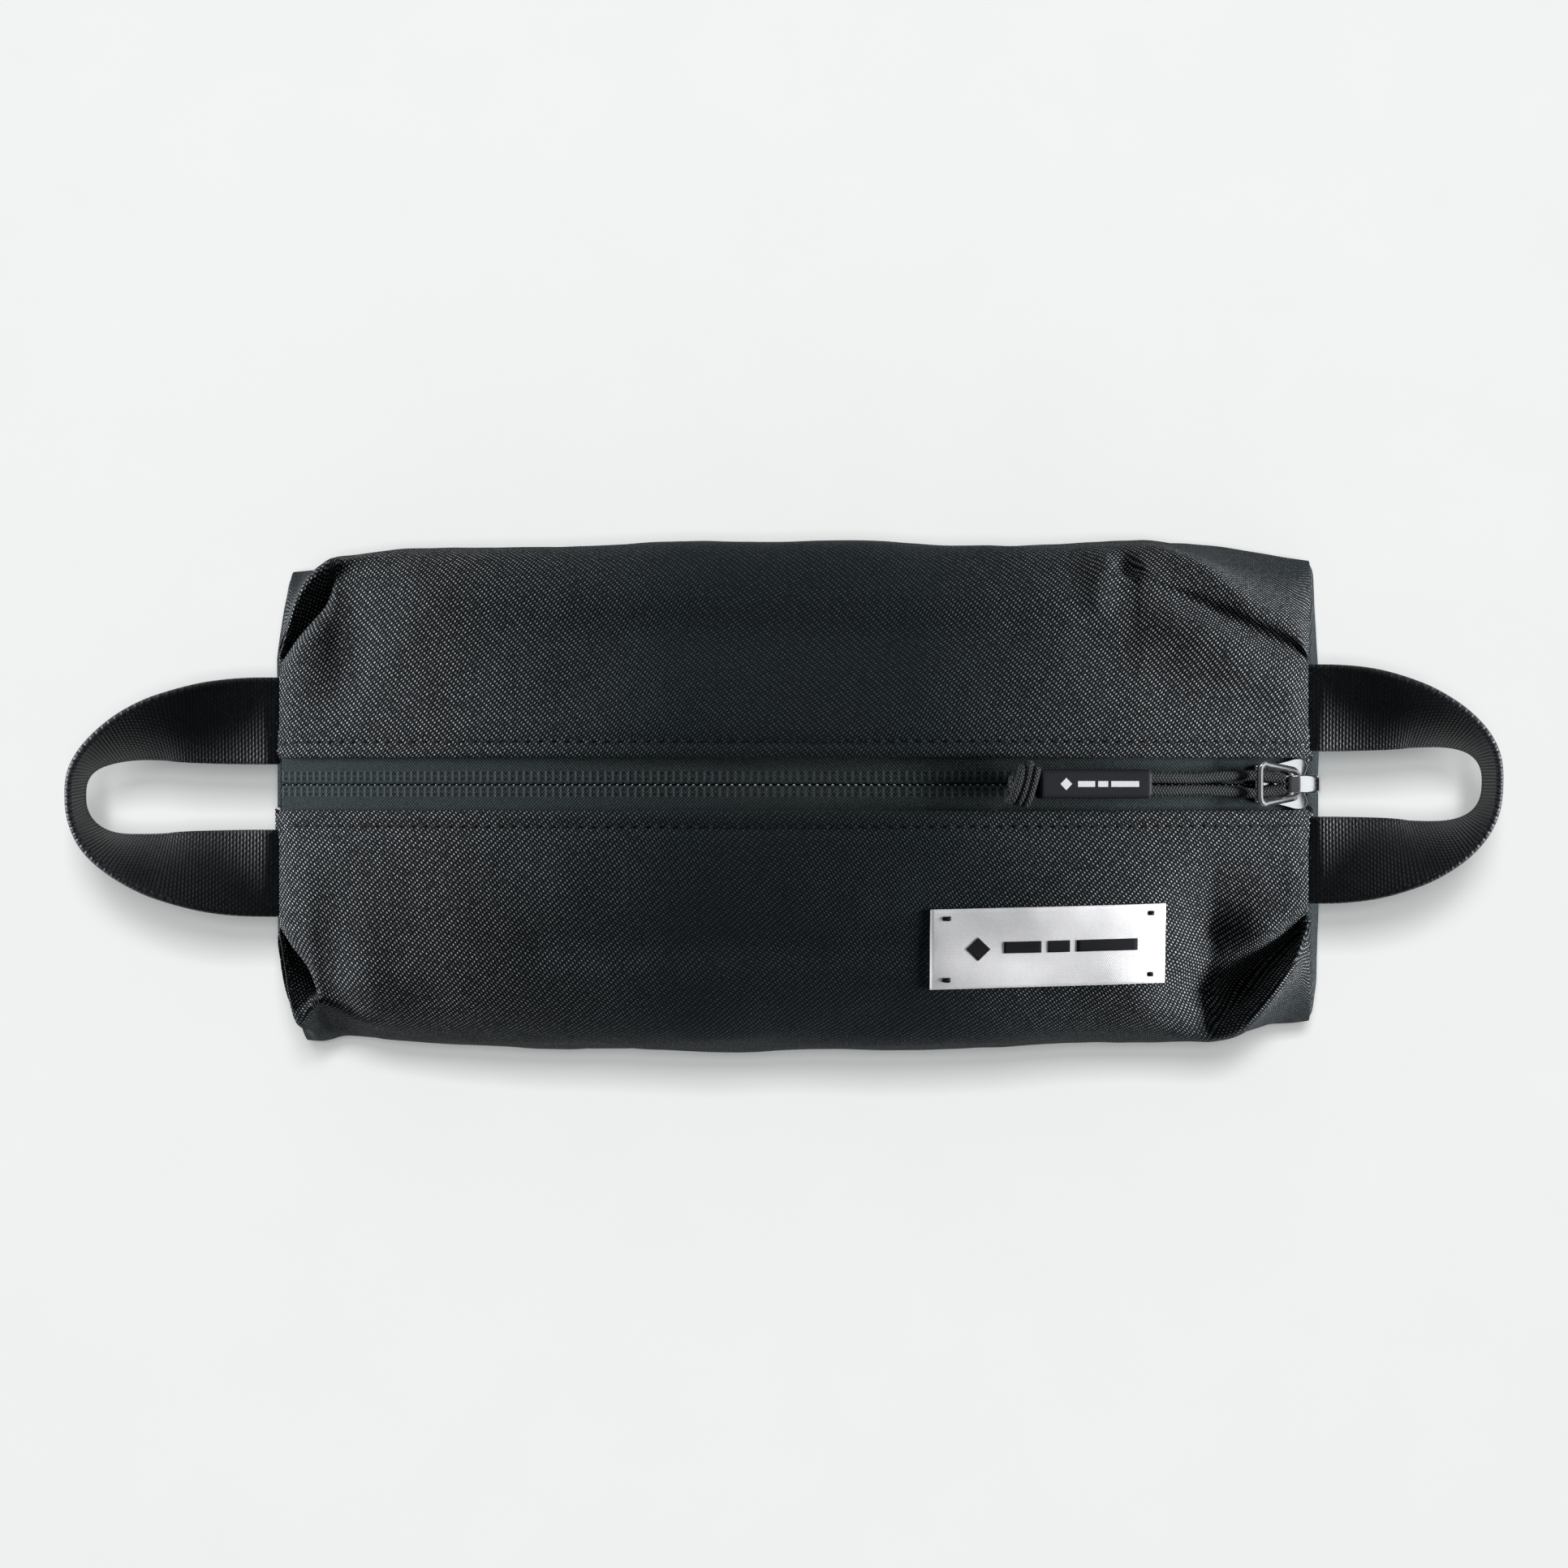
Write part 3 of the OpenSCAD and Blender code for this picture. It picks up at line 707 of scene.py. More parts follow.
def regular(x):
    """Control columns of one half where no tuck is near, as distance out from the zip and height."""
    top = zip_z(x)
    share = abs(x) / HALF
    fall = mix(9, -2, share**2.5)
    r = 20 * (1 - 0.3 * share**2)
    edge = top - fall
    wall = edge - r

    def out(z):
        return SIDE + 1 + 4.8 * (1 - share**3) * math.sin(math.pi * min(1, max(0, z) / edge))

    def over(y):
        return (y, top - fall * ((y - FOLD_Y) / (SIDE - r - FOLD_Y)) ** 2)

    def arc(deg):
        a = math.radians(deg)
        z = wall + r * math.sin(a)
        return (out(z) - (1.06 * r) * (1 - math.cos(a)), z + 0.5 * math.sin(a))

    last = min(36.0, SIDE - r + 2)
    return np.array([
        (12.5, top - 2.4), (8.2, top - 2.1), (5.9, top - 1.7), (5.8, top - 0.25), (8.0, top + 0.15),
        (9.7, top - 0.95), (11.4, top + 0.1), over(mix(11.4, last, 0.25)), over(mix(11.4, last, 0.55)),
        over(mix(11.4, last, 0.8)), over(last), arc(69), arc(60), arc(51), arc(41), arc(31), arc(20), arc(4),
        (out(mix(wall, 26, 0.5)), mix(wall, 26, 0.5)), (out(26), 26), (out(19), 19), (out(12), 12),
        (out(7), 6.5), (SIDE + 0.9, 2.6), (SIDE + 0.3, 0.7), (SIDE - 2.6, 1.5),
    ])


def line_at(line, a):
    """Distance out from the zip of a line of a tuck, softened a little between its points."""
    xs, ys = zip(*line)
    return float(np.mean(np.interp([a - 0.5, a, a + 0.5], xs, ys)))


def tucked(x, side, end, inner=False):
    """Control columns beside an end seam, where the corner is folded in."""
    tuck = TUCKS[side, end]
    long = tuck["edge"][-1][0]
    a = min(HALF - abs(x), long)
    t = a / long
    top = zip_z(x)
    plain = regular(x)
    at_fold = regular(end * (HALF - long))
    z_fold = float(np.interp(-tuck["ridge"][-1][1], -at_fold[17:9:-1, 0], at_fold[17:9:-1, 1]))
    edge, ridge = line_at(tuck["edge"], a), line_at(tuck["ridge"], a)
    crest = mix(SEAM_Z - 0.3, z_fold, t) + 1.2 * math.sin(math.pi * t)
    open_far = "floor" in tuck
    deep = smooth(a / 3.2) * smooth((1.0 - t) / (0.3 if open_far else 0.09))
    d = tuck["depth"] * deep
    cols = plain.copy()
    b_near = min(plain[10, 0], edge - (1.5 if open_far else 2.8))
    z_near = crest + 0.5 + 2.3 * smooth(t / 0.5)
    for k, s in ((7, 0.25), (8, 0.55), (9, 0.8), (10, 1.0)):
        y = mix(11.4, b_near, s)
        cols[k] = (y, top - (top - min(z_near, top)) * ((y - FOLD_Y) / (b_near - FOLD_Y)) ** 2.2)
    corner = plain[19]
    if inner:
        for k in range(11, 18):
            cols[k] = (mix(b_near - 0.5, ridge - 1.0, (k - 11) / 6), crest - d - 1.5)
        cols[10] = cols[10] - np.array([1.0, 0.5])
        cols[18] = mix(cols[17], corner, 0.55)
        return cols
    if open_far:
        floor_y = line_at(tuck["floor"], a)
        cols[11] = (edge, crest + 0.2)
        cols[12] = (mix(edge, floor_y, 0.6), crest - 0.45 * d)
        cols[13] = (floor_y, crest - 0.3 - d)
        cols[14] = (mix(floor_y, ridge, 0.35), crest - 0.3 - 0.8 * d)
        cols[15] = (max(mix(floor_y, ridge, 0.5), ridge - 2.4), crest - 0.1 - 0.08 * d)
    else:
        cols[11] = (edge - 0.4 * deep, crest - 0.2 * deep)
        cols[12] = (edge + 0.3 * deep, crest - 0.3 - 0.25 * d)
        cols[13] = (edge - 0.8 * deep, crest - 0.4 - d)
        cols[14] = (mix(edge, ridge, 0.45), crest - 0.4 - 0.66 * d)
        cols[15] = (mix(edge, ridge, 0.8), crest - 0.2 - 0.16 * d)
    cols[16] = (ridge + 0.5 * smooth((t - 0.7) / 0.3), crest + 0.8 * deep)
    cols[17] = (ridge + 1.2 + 1.3 * deep, crest - 1.2 + 0.5 * deep)
    low = np.array([ridge + 1.2, crest - 1.2 - 1.2 * tuck["flap"] * deep])
    cols[18] = mix(low, corner, 0.3) + np.array([0.6, 0.7])
    if not tuck["flap"]:
        cols[16:19] = mix(cols[16:19], plain[16:19], 0.85 * smooth((t - 0.3) / 0.7))
    return cols


def section(x, side, inner=False):
    """Control points across one half at x from the body's middle. The lining's pass below the tucks."""
    end = 1 if x > 0 else -1
    a = HALF - abs(x)
    long = TUCKS[side, end]["edge"][-1][0]
    cols = mix(tucked(x, side, end, inner), regular(x), smooth((a - long) / 13))
    roll = 2.2 * (1 - min(1.0, a / 4.5)) ** 2
    points = np.zeros((len(cols), 3))
    points[:, 0] = x
    points[:, 1] = cols[:, 0]
    high = smooth((cols[:, 1] - 30) / 25)
    points[:, 2] = cols[:, 1] - roll * high
    return points


def stations(side, end):
    """Distances in from an end, closer together round the point where the tuck starts."""
    long = TUCKS[side, end]["edge"][-1][0]
    extra = [long - 1.4, long - 0.5, long + 0.4, long + 1.5]
    kept = [a for a in FROM_END if not long - 2.2 < a < long + 2.4]
    return sorted(kept + extra)


def body_net(side, inner=False):
    left, right = stations(side, -1), stations(side, 1)
    xs = [-(HALF - a) for a in left] + [0.0] + [HALF - a for a in reversed(right)]
    rows = [section(x, side, inner) for x in xs]
    for row, other, end in ((rows[0], rows[1], -1), (rows[-1], rows[-2], 1)):
        extra = row.copy()
        extra[:, 0] = row[:, 0] - end * 1.6
        middle_y = np.where(row[:, 2] > 45, 0.0, 0.035)
        extra[:, 1] = row[:, 1] * (1 - middle_y)
        extra[:, 2] = row[:, 2] - 2.4 * smooth((row[:, 2] - 30) / 25)
        if end < 0:
            first = extra
        else:
            last = extra
    net = np.array([first] + rows + [last])
    for row in net:
        for p in row:
            p[0] += 3.6 * smooth((SEAM_Z - p[2]) / 32) * smooth((p[0] / HALF - 0.2) / 0.8)
            outer = smooth((p[1] - 34) / 14)
            if side > 0:
                p[1] += 2.4 * outer * math.exp(-(((p[0] - 92) / 26) ** 2))
            else:
                low_left = outer * smooth((-p[0] - 104) / 12) * smooth((58 - p[2]) / 22)
                p[0] += 3.2 * low_left
                p[1] += 1.0 * outer * math.exp(-(((p[0] - 60) / 45) ** 2)) + 2.6 * low_left
            p[1] = side * p[1] + shift(p[0], p[2]) * smooth((abs(p[1]) - 8) / 6)
    net[:, :, 0] += BODY_X
    return net


def basis(counts):
    """Weights of control points at places along a line with that many samples in each segment."""
    n = len(counts) + 1
    rows = []
    for i, count in enumerate(counts):
        for k in range(count + (i == n - 2)):
            u = k / count
            w = np.array([(1 - u) ** 3, 3 * u**3 - 6 * u**2 + 4, -3 * u**3 + 3 * u**2 + 3 * u + 1, u**3]) / 6
            row = np.zeros(n + 2)
            row[i:i + 4] = w
            row[1] += 2 * row[0]
            row[2] -= row[0]
            row[n] += 2 * row[n + 1]
            row[n - 1] -= row[n + 1]
            rows.append(row[1:n + 1])
    return np.array(rows)


def surface(net, step):
    """Dense points on the net's cubic surface, and the rows and columns that its control points fall on."""
    along = np.linalg.norm(np.diff(net, axis=0), axis=2).mean(1)
    across = np.linalg.norm(np.diff(net, axis=1), axis=2)[len(net) // 3: -len(net) // 3].mean(0)
    rows = [max(2, int(math.ceil(d / step))) for d in along]
    cols = [max(3, int(math.ceil(d / step))) for d in across]
    grid = np.einsum("ia,abk,jb->ijk", basis(rows), net, basis(cols))
    return grid, np.concatenate([[0], np.cumsum(rows)]), np.concatenate([[0], np.cumsum(cols)])


def flat_place(grid):
    """Arc length along and across the cloth, counted from its middle and from the zip."""
    du = np.linalg.norm(np.diff(grid, axis=0), axis=2)
    u = np.vstack([np.zeros(grid.shape[1]), np.cumsum(du, 0)])
    u -= u[len(u) // 2]
    u = mix(u, np.broadcast_to(u[:, 25:26], u.shape), 0.7)
    dv = np.linalg.norm(np.diff(grid, axis=1), axis=2)
    v = np.hstack([np.zeros((grid.shape[0], 1)), np.cumsum(dv, 1)])
    return np.stack([u, v], 2).reshape(-1, 2)


def wrinkles(points, side):
    """Height of the cloth's own waviness at each point."""
    d = np.zeros(len(points))
    folds = [
        (1, 84, 40, 117, 20, 1.1, 5), (1, 70, 30, 112, 14, -0.8, 6), (1, -105, 18, -88, 44, -0.9, 6),
        (-1, 88, -40, 113, -33, 1.4, 4.5), (-1, 86, -49, 108, -46, -1.2, 4), (-1, 90, -30, 117, -21, -0.9, 5),
        (-1, -112, -22, -92, -48, 0.9, 6), (1, -30, 46, 25, 52, 0.8, 7), (-1, -70, -50, -10, -55, 0.8, 8),
        (-1, 20, -52, 80, -56, -0.9, 6), (1, 30, 50, 75, 46, -0.7, 6), (1, 77.5, 48.5, 80.5, 51, -1.9, 2.9),
        (1, 73, 53, 71, 40, 1.2, 3.0),
    ]
    for which, x0, y0, x1, y1, high, wide in folds:
        if which != side:
            continue
        along = np.array([x1 - x0, y1 - y0], float)
        long = np.linalg.norm(along)
        rel = points[:, :2] - np.array([x0, y0])
        t = (rel @ along) / long**2
        off = (rel[:, 0] * along[1] - rel[:, 1] * along[0]) / long
        ends = smooth((t + 0.25) / 0.4) * smooth((1.25 - t) / 0.4)
        d += high * np.exp(-((off / wide) ** 2)) * ends * (points[:, 2] > 20)
    for i, p in enumerate(points):
        v = Vector(p)
        d[i] += (
            0.95 * noise.noise(v / 42 + Vector((side, 3, 7)))
            + 0.55 * noise.noise(Vector((p[0] / 24, p[1] / 15, p[2] / 15)))
            + 0.16 * noise.noise(v / 7)
        )
    return d


def grid_normals(grid, outward):
    du = np.gradient(grid, axis=0)
    dv = np.gradient(grid, axis=1)
    n = np.cross(du, dv)
    n /= np.maximum(np.linalg.norm(n, axis=2), 1e-9)[:, :, None]
    if np.sum(n * outward) < 0:
        n = -n
    return n


def calmed(n, rounds=8):
    """Directions evened out with their neighbours, so that waviness can't fold a tight crease over itself."""
    for _ in range(rounds):
        padded = np.pad(n, ((1, 1), (1, 1), (0, 0)), mode="edge")
        n = (padded[:-2, 1:-1] + padded[2:, 1:-1] + padded[1:-1, :-2] + padded[1:-1, 2:] + 2 * n) / 6
        n = n / np.maximum(np.linalg.norm(n, axis=2), 1e-9)[:, :, None]
    return n


def away_from_zip(points):
    return np.stack([0 * points[..., 0], points[..., 1], points[..., 2] - 30], -1)


STEP = 1.15
halves = {}
for side in (1, -1):
    net = body_net(side)
    grid, rows_at, cols_at = surface(net, STEP)
    n = calmed(grid_normals(grid, away_from_zip(grid)))
    flatten = flat_place(grid)
    girth = flatten[:, 1].reshape(grid.shape[:2])
    from_end = HALF - np.abs(grid[:, :, 0] - BODY_X)
    calm = smooth((girth - 9) / 14) * smooth(from_end / 7) * smooth((grid[:, :, 2] - 1) / 12)
    d = wrinkles(grid.reshape(-1, 3), side).reshape(grid.shape[:2]) * calm
    grid = grid + n * d[:, :, None]
    grid[:, :, 2] = np.maximum(grid[:, :, 2], 0.15)
    halves[side] = {"net": net, "grid": grid, "flat": flatten, "rows": rows_at, "cols": cols_at}


def mouth_weight(obj):
    """How much each point of cloth follows its zip edge: all of it at the fold, none below the shoulder."""
    co = coords(obj)
    share = np.clip(np.abs(co[:, 0] - BODY_X) / HALF, 0, 1)
    reach = mix(64.0, 26.0, share**1.6)
    drop_off = np.abs(co[:, 1]) + np.maximum(0, 62 - co[:, 2]) * 0.9
    w = 1 - smooth((drop_off - 11.0) / (reach - 11.0))
    return w * smooth((HALF + 1.5 - np.abs(co[:, 0] - BODY_X)) / 3)


def bend_with_mouth(obj, side):
    """Works out how much each point of the piece follows its zip edge, and bakes the piece's placement into
    its points.
    """
    edge = "back_zip_edge" if side > 0 else "front_zip_edge"
    w = mouth_weight(obj).astype(np.float32)
    side * 0.06
    side * 0.006
    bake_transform(obj)


def cloth_from_grid(name, grid, flatten, material, side, thick):
    faces = grid_faces(grid.shape[0], grid.shape[1], flip=side > 0)
    obj = make_mesh(name, grid.reshape(-1, 3), faces, material, flatten)
    thicken(obj, thick, -1)
    return obj


fabric = {}
for side, word in ((1, "back"), (-1, "front")):
    h = halves[side]
    obj = cloth_from_grid(f"{word}_fabric", h["grid"], h["flat"], M["body"], side, 1.1)
    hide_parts(f"{word}_panel", f"{word}_top_panel")
    fabric[side] = obj
    inner, _, _ = surface(body_net(side, True)[1:-1, 4:], 2.6)
    near_zip = 1 - smooth((np.abs(inner[:, :, 1]) - 11) / 10)
    inner = inner - (2.3 + 0.9 * near_zip)[:, :, None] * grid_normals(inner, away_from_zip(inner))
    inner[:, :, 2] = np.maximum(inner[:, :, 2], 2.2)
    limit = HALF - 2.4
    inner[:, :, 0] = np.clip(inner[:, :, 0], BODY_X - limit, BODY_X + limit)
    lining = cloth_from_grid(f"{word}_lining_look", inner, flat_place(inner), M["lining"], side, 0.4)
    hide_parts(f"{word}_lining", f"{word}_top_lining")
    h["lining"] = lining


def end_wall(end):
    """The end fabric between the two halves' side edges, from the seam across the top down to the base."""
    edges = []
    for side in (-1, 1):
        h = halves[side]
        row = h["grid"][h["rows"][1] if end < 0 else h["rows"][-2]]
        first, corner = h["cols"][R_COL], h["cols"][C_COL]
        parts = []
        for part, count in ((row[first:corner + 1], 26), (row[corner:h["cols"][LOW_COL] + 1], 22)):
            s = np.concatenate([[0], np.cumsum(np.linalg.norm(np.diff(part, axis=0), axis=1))])
            places = np.linspace(0, s[-1], count)
            parts.append(np.stack([np.interp(places, s, part[:, k]) for k in range(3)], 1))
        edges.append(np.vstack([parts[0][:-1], parts[1]]))
    front, back = edges
    rows, cols = len(front), 72
    points = np.zeros((rows, cols, 3))
    for j in range(cols):
        s = (1 - math.cos(math.pi * j / (cols - 1))) / 2
        points[:, j] = mix(front, back, s)
    down = np.linspace(0, 1, rows)[:, None]
    to_front, to_back = (np.abs(points[:, :, 1] - points[:, k, 1][:, None]) for k in (0, -1))
    from_top = points[0, :, 2].mean() - points[:, :, 2]
    near = np.minimum.reduce([to_front, to_back, from_top, points[:, :, 2] + 0.5])
    puff = 1.3 * smooth(near / 26) * (1 - 0.4 * down) - 1.1 * np.exp(-((near / 1.3) ** 2))
    rough = np.array([[0.9 * noise.noise(Vector((p[1] / 24, p[2] / 18, end * 5)))
                       + 0.35 * noise.noise(Vector(p) / 9) for p in row] for row in points])
    points[:, :, 0] += end * (puff + rough * smooth(near / 8) - 0.25)
    points[:, :, 2] = np.maximum(points[:, :, 2], 0.15)
    v = 1.45 * np.arange(rows)[:, None]
    flatten = np.stack([points[:, :, 1], np.broadcast_to(v, points.shape[:2])], 2).reshape(-1, 2)
    return points, flatten


for end, word in ((-1, "left"), (1, "right")):
    points, flatten = end_wall(end)
    wall = cloth_from_grid(f"{word}_end_fabric", points, flatten, M["body"], -end, 1.1)
    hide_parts(f"{word}_end_panel")
    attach(wall, "bag")
    inner = points.copy()
    inner[:, :, 0] -= end * 2.0
    inner[:, :, 1] *= 0.97
    inner[:, :, 2] = np.clip(inner[:, :, 2] - 0.8, 2.2, None)
    lining = cloth_from_grid(f"{word}_end_lining_look", inner, flatten, M["lining"], -end, 0.4)
    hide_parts(f"{word}_end_lining")
    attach(lining, "bag")


def base_sheet(name, inset, low, material, node):
    """The flat base between the lower edges of the two long walls."""
    edges = []
    for side in (-1, 1):
        h = halves[side]
        line = h["grid"][:, h["cols"][LOW_COL]]
        edges.append(line[h["rows"][1]:h["rows"][-2] + 1:2].copy())
    front, back = edges
    front[:, 1] += inset
    back[:, 1] -= inset
    cols = 60
    points = np.array([[mix(f, b, j / (cols - 1)) for j in range(cols)] for f, b in zip(front, back)])
    points[:, :, 0] = np.clip(points[:, :, 0], BODY_X - HALF + inset, BODY_X + HALF - inset)
    rough = np.array([[0.35 + 0.35 * noise.noise(Vector(p) / 26) for p in row] for row in points])
    points[:, :, 2] = low + rough
    flatten = points[:, :, :2].reshape(-1, 2)
    obj = cloth_from_grid(name, points, flatten, material, -1, 0.9)
    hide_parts(node)
    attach(obj, "bag")


base_sheet("base_fabric", 1.0, 0.0, M["body"], "base_panel")
base_sheet("base_lining_look", 3.0, 1.9, M["lining"], "base_lining")

# ---- Seam bindings inside the ends, zip tapes, coils and stitches ----

for end, word in ((-1, "left"), (1, "right")):
    low, high = box_mm(f"{word}_seam_binding")
    mid = (low + high) / 2
    ys = np.linspace(low[1] + 1, high[1] - 1, 40)
    path = [(mid[0] - end * 0.3, y, mid[2] + 0.5 * noise.noise(Vector((y / 9, end, 0)))) for y in ys]
    strip = tube(f"{word}_seam_binding_look", path, 3.4, M["binding"], sides=20, squash=0.17, up=(1, 0, 0))
    dress(strip, "binding_tape", f"{word}_seam_binding", body="bag")

ZIP_FROM, ZIP_TO = -END_ANGLE - math.radians(0.1), END_ANGLE + math.radians(0.1)
COIL_WIDE, COIL_HIGH = 2.55, 1.5


def tape(side):
    """One zip tape: thin cloth along the arch. Its inner edge is nibbled by the coil's heads."""
    rows = 1150
    outward = np.array([0, 0.45, 0.9, 1.5, 2.2, 3.0, 4.0, 5.2, 6.4, 8.5, 10.5, 12.0])
    near = np.array([1, 0.35, 0.05, 0, 0, 0, 0, 0, 0, 0, 0, 0])
    points, flat = [], []
    for i in range(rows):
        angle = mix(ZIP_FROM, ZIP_TO, i / (rows - 1))
        nibble = 0.11 * math.cos(2 * math.pi * angle * ARC_R / ZIP_PITCH) * side
        edge = 0.07 if side > 0 else 0.24
        if angle > SLIDER_ANGLE:
            edge = max(edge, 1.7 * float(smooth((angle - SLIDER_ANGLE) / 0.012)))
        ys = edge + outward + nibble * near
        for y, v, at_edge in zip(ys, outward, near):
            sag = 0.08 * noise.noise(Vector((angle * 22, y / 6, side))) * min(1, y / 5) - 0.1 * at_edge
            sag += 0.06 * math.exp(-(((v - 1.8) / 1.1) ** 2))
            points.append(on_arc([[0, side * y, TAPE_R - 0.02 + sag]], angle)[0])
            flat.append((angle * ARC_R, y))
    obj = make_mesh("tape", points, grid_faces(rows, len(outward), flip=side > 0), M["tape"], flat)
    return thicken(obj, 0.5, -1)


def coil(side):
    """Wound coil sewn under the tape. Each loop's head reaches up into the gap between the tapes."""
    per = 14
    first = ZIP_FROM + 0.004
    last = SLIDER_ANGLE - 0.012
    loops = int((last - first) * ARC_R / ZIP_PITCH)
    start = math.ceil(first * ARC_R / ZIP_PITCH) + (0.5 if side > 0 else 0.0)
    path = []
    for k in range(loops * per):
        s = k / per
        a = 2 * math.pi * s + math.pi
        y = COIL_WIDE / 2 + 0.12 + (COIL_WIDE / 2 - 0.3) * math.cos(a)
        z = (COIL_HIGH / 2 - 0.3) * math.sin(a) - 0.5 - COIL_HIGH / 2
        at = (start + s) * ZIP_PITCH / ARC_R
        path.append(on_arc([[0.25 * math.sin(a), side * y, TAPE_R + z]], at)[0])
    wire = tube("coil", path, 0.36, M["coil"], sides=8)
    head_down = 0.75 if side > 0 else 0.36
    heads, faces, flat = [], [], []
    for k in range(loops):
        at = (start + k) * ZIP_PITCH / ARC_R
        first_point = len(heads)
        for i in range(5):
            lat = math.pi * (i + 0.5) / 5
            for j in range(8):
                lon = 2 * math.pi * j / 8
                ball = [0.3 * math.sin(lat) * math.cos(lon),
                        0.26 * math.sin(lat) * math.sin(lon) + side * 0.2,
                        0.45 * math.cos(lat) - head_down + TAPE_R]
                heads.append(on_arc([ball], at)[0])
                flat.append((k, j))
        faces += grid_faces(5, 8, closed=True, start=first_point, flip=True)
        faces += [[first_point + j for j in range(8)], [first_point + 32 + j for j in range(8)][::-1]]
    return joined("coil", [wire, make_mesh("heads", heads, faces, M["coil"], flat)])


def stitch_row(name, places, long=2.5, wide=0.62, lift=0.05):
    """Thread bars: each place is (middle, direction, normal) in millimetres."""
    points, faces = [], []
    for middle, direction, normal in places:
        direction = direction / np.linalg.norm(direction)
        across = np.cross(normal, direction)
        start = len(points)
        for i in range(7):
            s = i / 6
            along = (s - 0.5) * long
            body = math.sin(math.pi * mix(0.12, 0.88, s)) ** 0.6
            dip = 0.42 * (2 * s - 1) ** 4
            for k in range(6):
                a = 2 * math.pi * k / 6
                points.append(middle + along * direction + across * wide / 2 * body * math.cos(a)
                              + normal * (lift - dip + wide * 0.42 * body * math.sin(a)))
        faces += grid_faces(7, 6, closed=True, start=start)
        faces += [[start + k for k in range(6)][::-1], [start + 36 + k for k in range(6)]]
    return make_mesh(name, points, faces, M["thread"])


fabric_trees = {side: tree_of(fabric[side]) for side in (1, -1)}


def on_fabric(side, x, y):
    return drop(fabric_trees[side], x, y)


def stitches_along(name, side, line):
    """Stitches along a line drawn in plan on the fabric of one half."""
    pitch = 3.1
    line = np.array([on_fabric(side, x, y)[0] for x, y in line])
    s = np.concatenate([[0], np.cumsum(np.linalg.norm(np.diff(line, axis=0), axis=1))])
    places = []
    for at in np.arange(pitch / 2, s[-1], pitch):
        spot = [np.interp(at, s, line[:, k]) for k in range(3)]
        ahead = [np.interp(at + 0.8, s, line[:, k]) for k in range(3)]
        place, normal = on_fabric(side, spot[0], spot[1])
        direction = np.array(ahead) - np.array(spot)
        direction -= normal * (direction @ normal)
        places.append((place, direction, normal))
    return stitch_row(name, places)


for side, word in ((1, "back"), (-1, "front")):
    edge = f"{word}_zip_edge"
    strip = tape(side)
    strip.name = f"{word}_zip_tape_look"
    dress(strip, "zip_tape", f"{word}_zip_tape", body=edge)
    wire = coil(side)
    wire.name = f"{word}_zip_coil_look"
    dress(wire, "zip_coil", f"{word}_zip_coil", body=edge)
    bend_with_mouth(fabric[side], side)
    bend_with_mouth(halves[side]["lining"], side)
    xs = np.linspace(BODY_X - HALF + 3, BODY_X + HALF - 3, 160)
    row = stitches_along(f"{word}_zip_stitches", side, [(x, side * 9.6) for x in xs])
    bend_with_mouth(row, side)

# ---- Label with its print and corner tacks ----

LABEL_X, LABEL_LONG, LABEL_TOP, LABEL_BOTTOM = 59.6, 53.4, -27.6, -45.6
LABEL_Y = (LABEL_TOP + LABEL_BOTTOM) / 2
# The label lies slightly askew: sideways run for each millimetre along.
ASKEW = 0.022


def label_grid(rows, cols):
    """Points of a patch that lies on the front fabric, drawn in plan, and their flat places."""
    points, flat = [], []
    for x in np.linspace(LABEL_X - LABEL_LONG / 2, LABEL_X + LABEL_LONG / 2, rows):
        for j in range(cols):
            y = mix(LABEL_TOP, LABEL_BOTTOM, j / (cols - 1)) + ASKEW * (x - LABEL_X)
            place, normal = on_fabric(-1, x, y)
            points.append(place + normal * 0.12)
            flat.append((x, y))
    return np.array(points).reshape(rows, cols, 3), flat


def face_up(obj):
    if obj.data.polygons[0].normal.z < 0:
        obj.data.flip_normals()


label_points, label_flat = label_grid(60, 24)
smoothed = label_points.copy()
for _ in range(12):
    smoothed[1:-1, 1:-1] = 0.25 * (
        smoothed[:-2, 1:-1] + smoothed[2:, 1:-1] + smoothed[1:-1, :-2] + smoothed[1:-1, 2:])
label_points[:, :, 2] = np.maximum(label_points[:, :, 2], smoothed[:, :, 2])
label = make_mesh("label_look", label_points.reshape(-1, 3), grid_faces(60, 24), M["label"], label_flat)
face_up(label)
label_tree = tree_of(label)
thicken(label, 0.45, 1)
dress(label, "label_cloth", "label")
bend_with_mouth(label, -1)


def on_label(outline):
    """A flat printed shape on the label, given as rows of plan points."""
    points, flat = [], []
    for row in outline:
        for x, y in row:
            place, normal = drop(label_tree, x, y)
            points.append(place + normal * 0.5)
            flat.append((x, y))
    obj = make_mesh("label_mark", points, grid_faces(len(outline), len(outline[0])), M["label_ink"], flat)
    face_up(obj)
    return thicken(obj, 0.06, 1)


mark = []
for i in range(13):
    s = i / 12 * 2 - 1
    reach = 2.7 * (1 - abs(s)) + 0.02
    mark.append([(LABEL_X - 15.8 + 2.7 * s, LABEL_Y - 0.6 + mix(-reach, reach, j / 8)) for j in range(9)])
# A diamond and three bars stand in for the printed mark. Each bar runs from and to a place along the label.
BARS = ((-10.0, -1.5), (0.0, 5.0), (6.5, 20.4))
bars = [[[(LABEL_X + at, LABEL_Y + mix(-1.35, 1.35, j / 4) + ASKEW * at) for j in range(5)]
         for at in [mix(low, high, i / 16) for i in range(17)]] for low, high in BARS]
prints = joined("label_print", [on_label(rows) for rows in [mark] + bars])
bend_with_mouth(prints, -1)

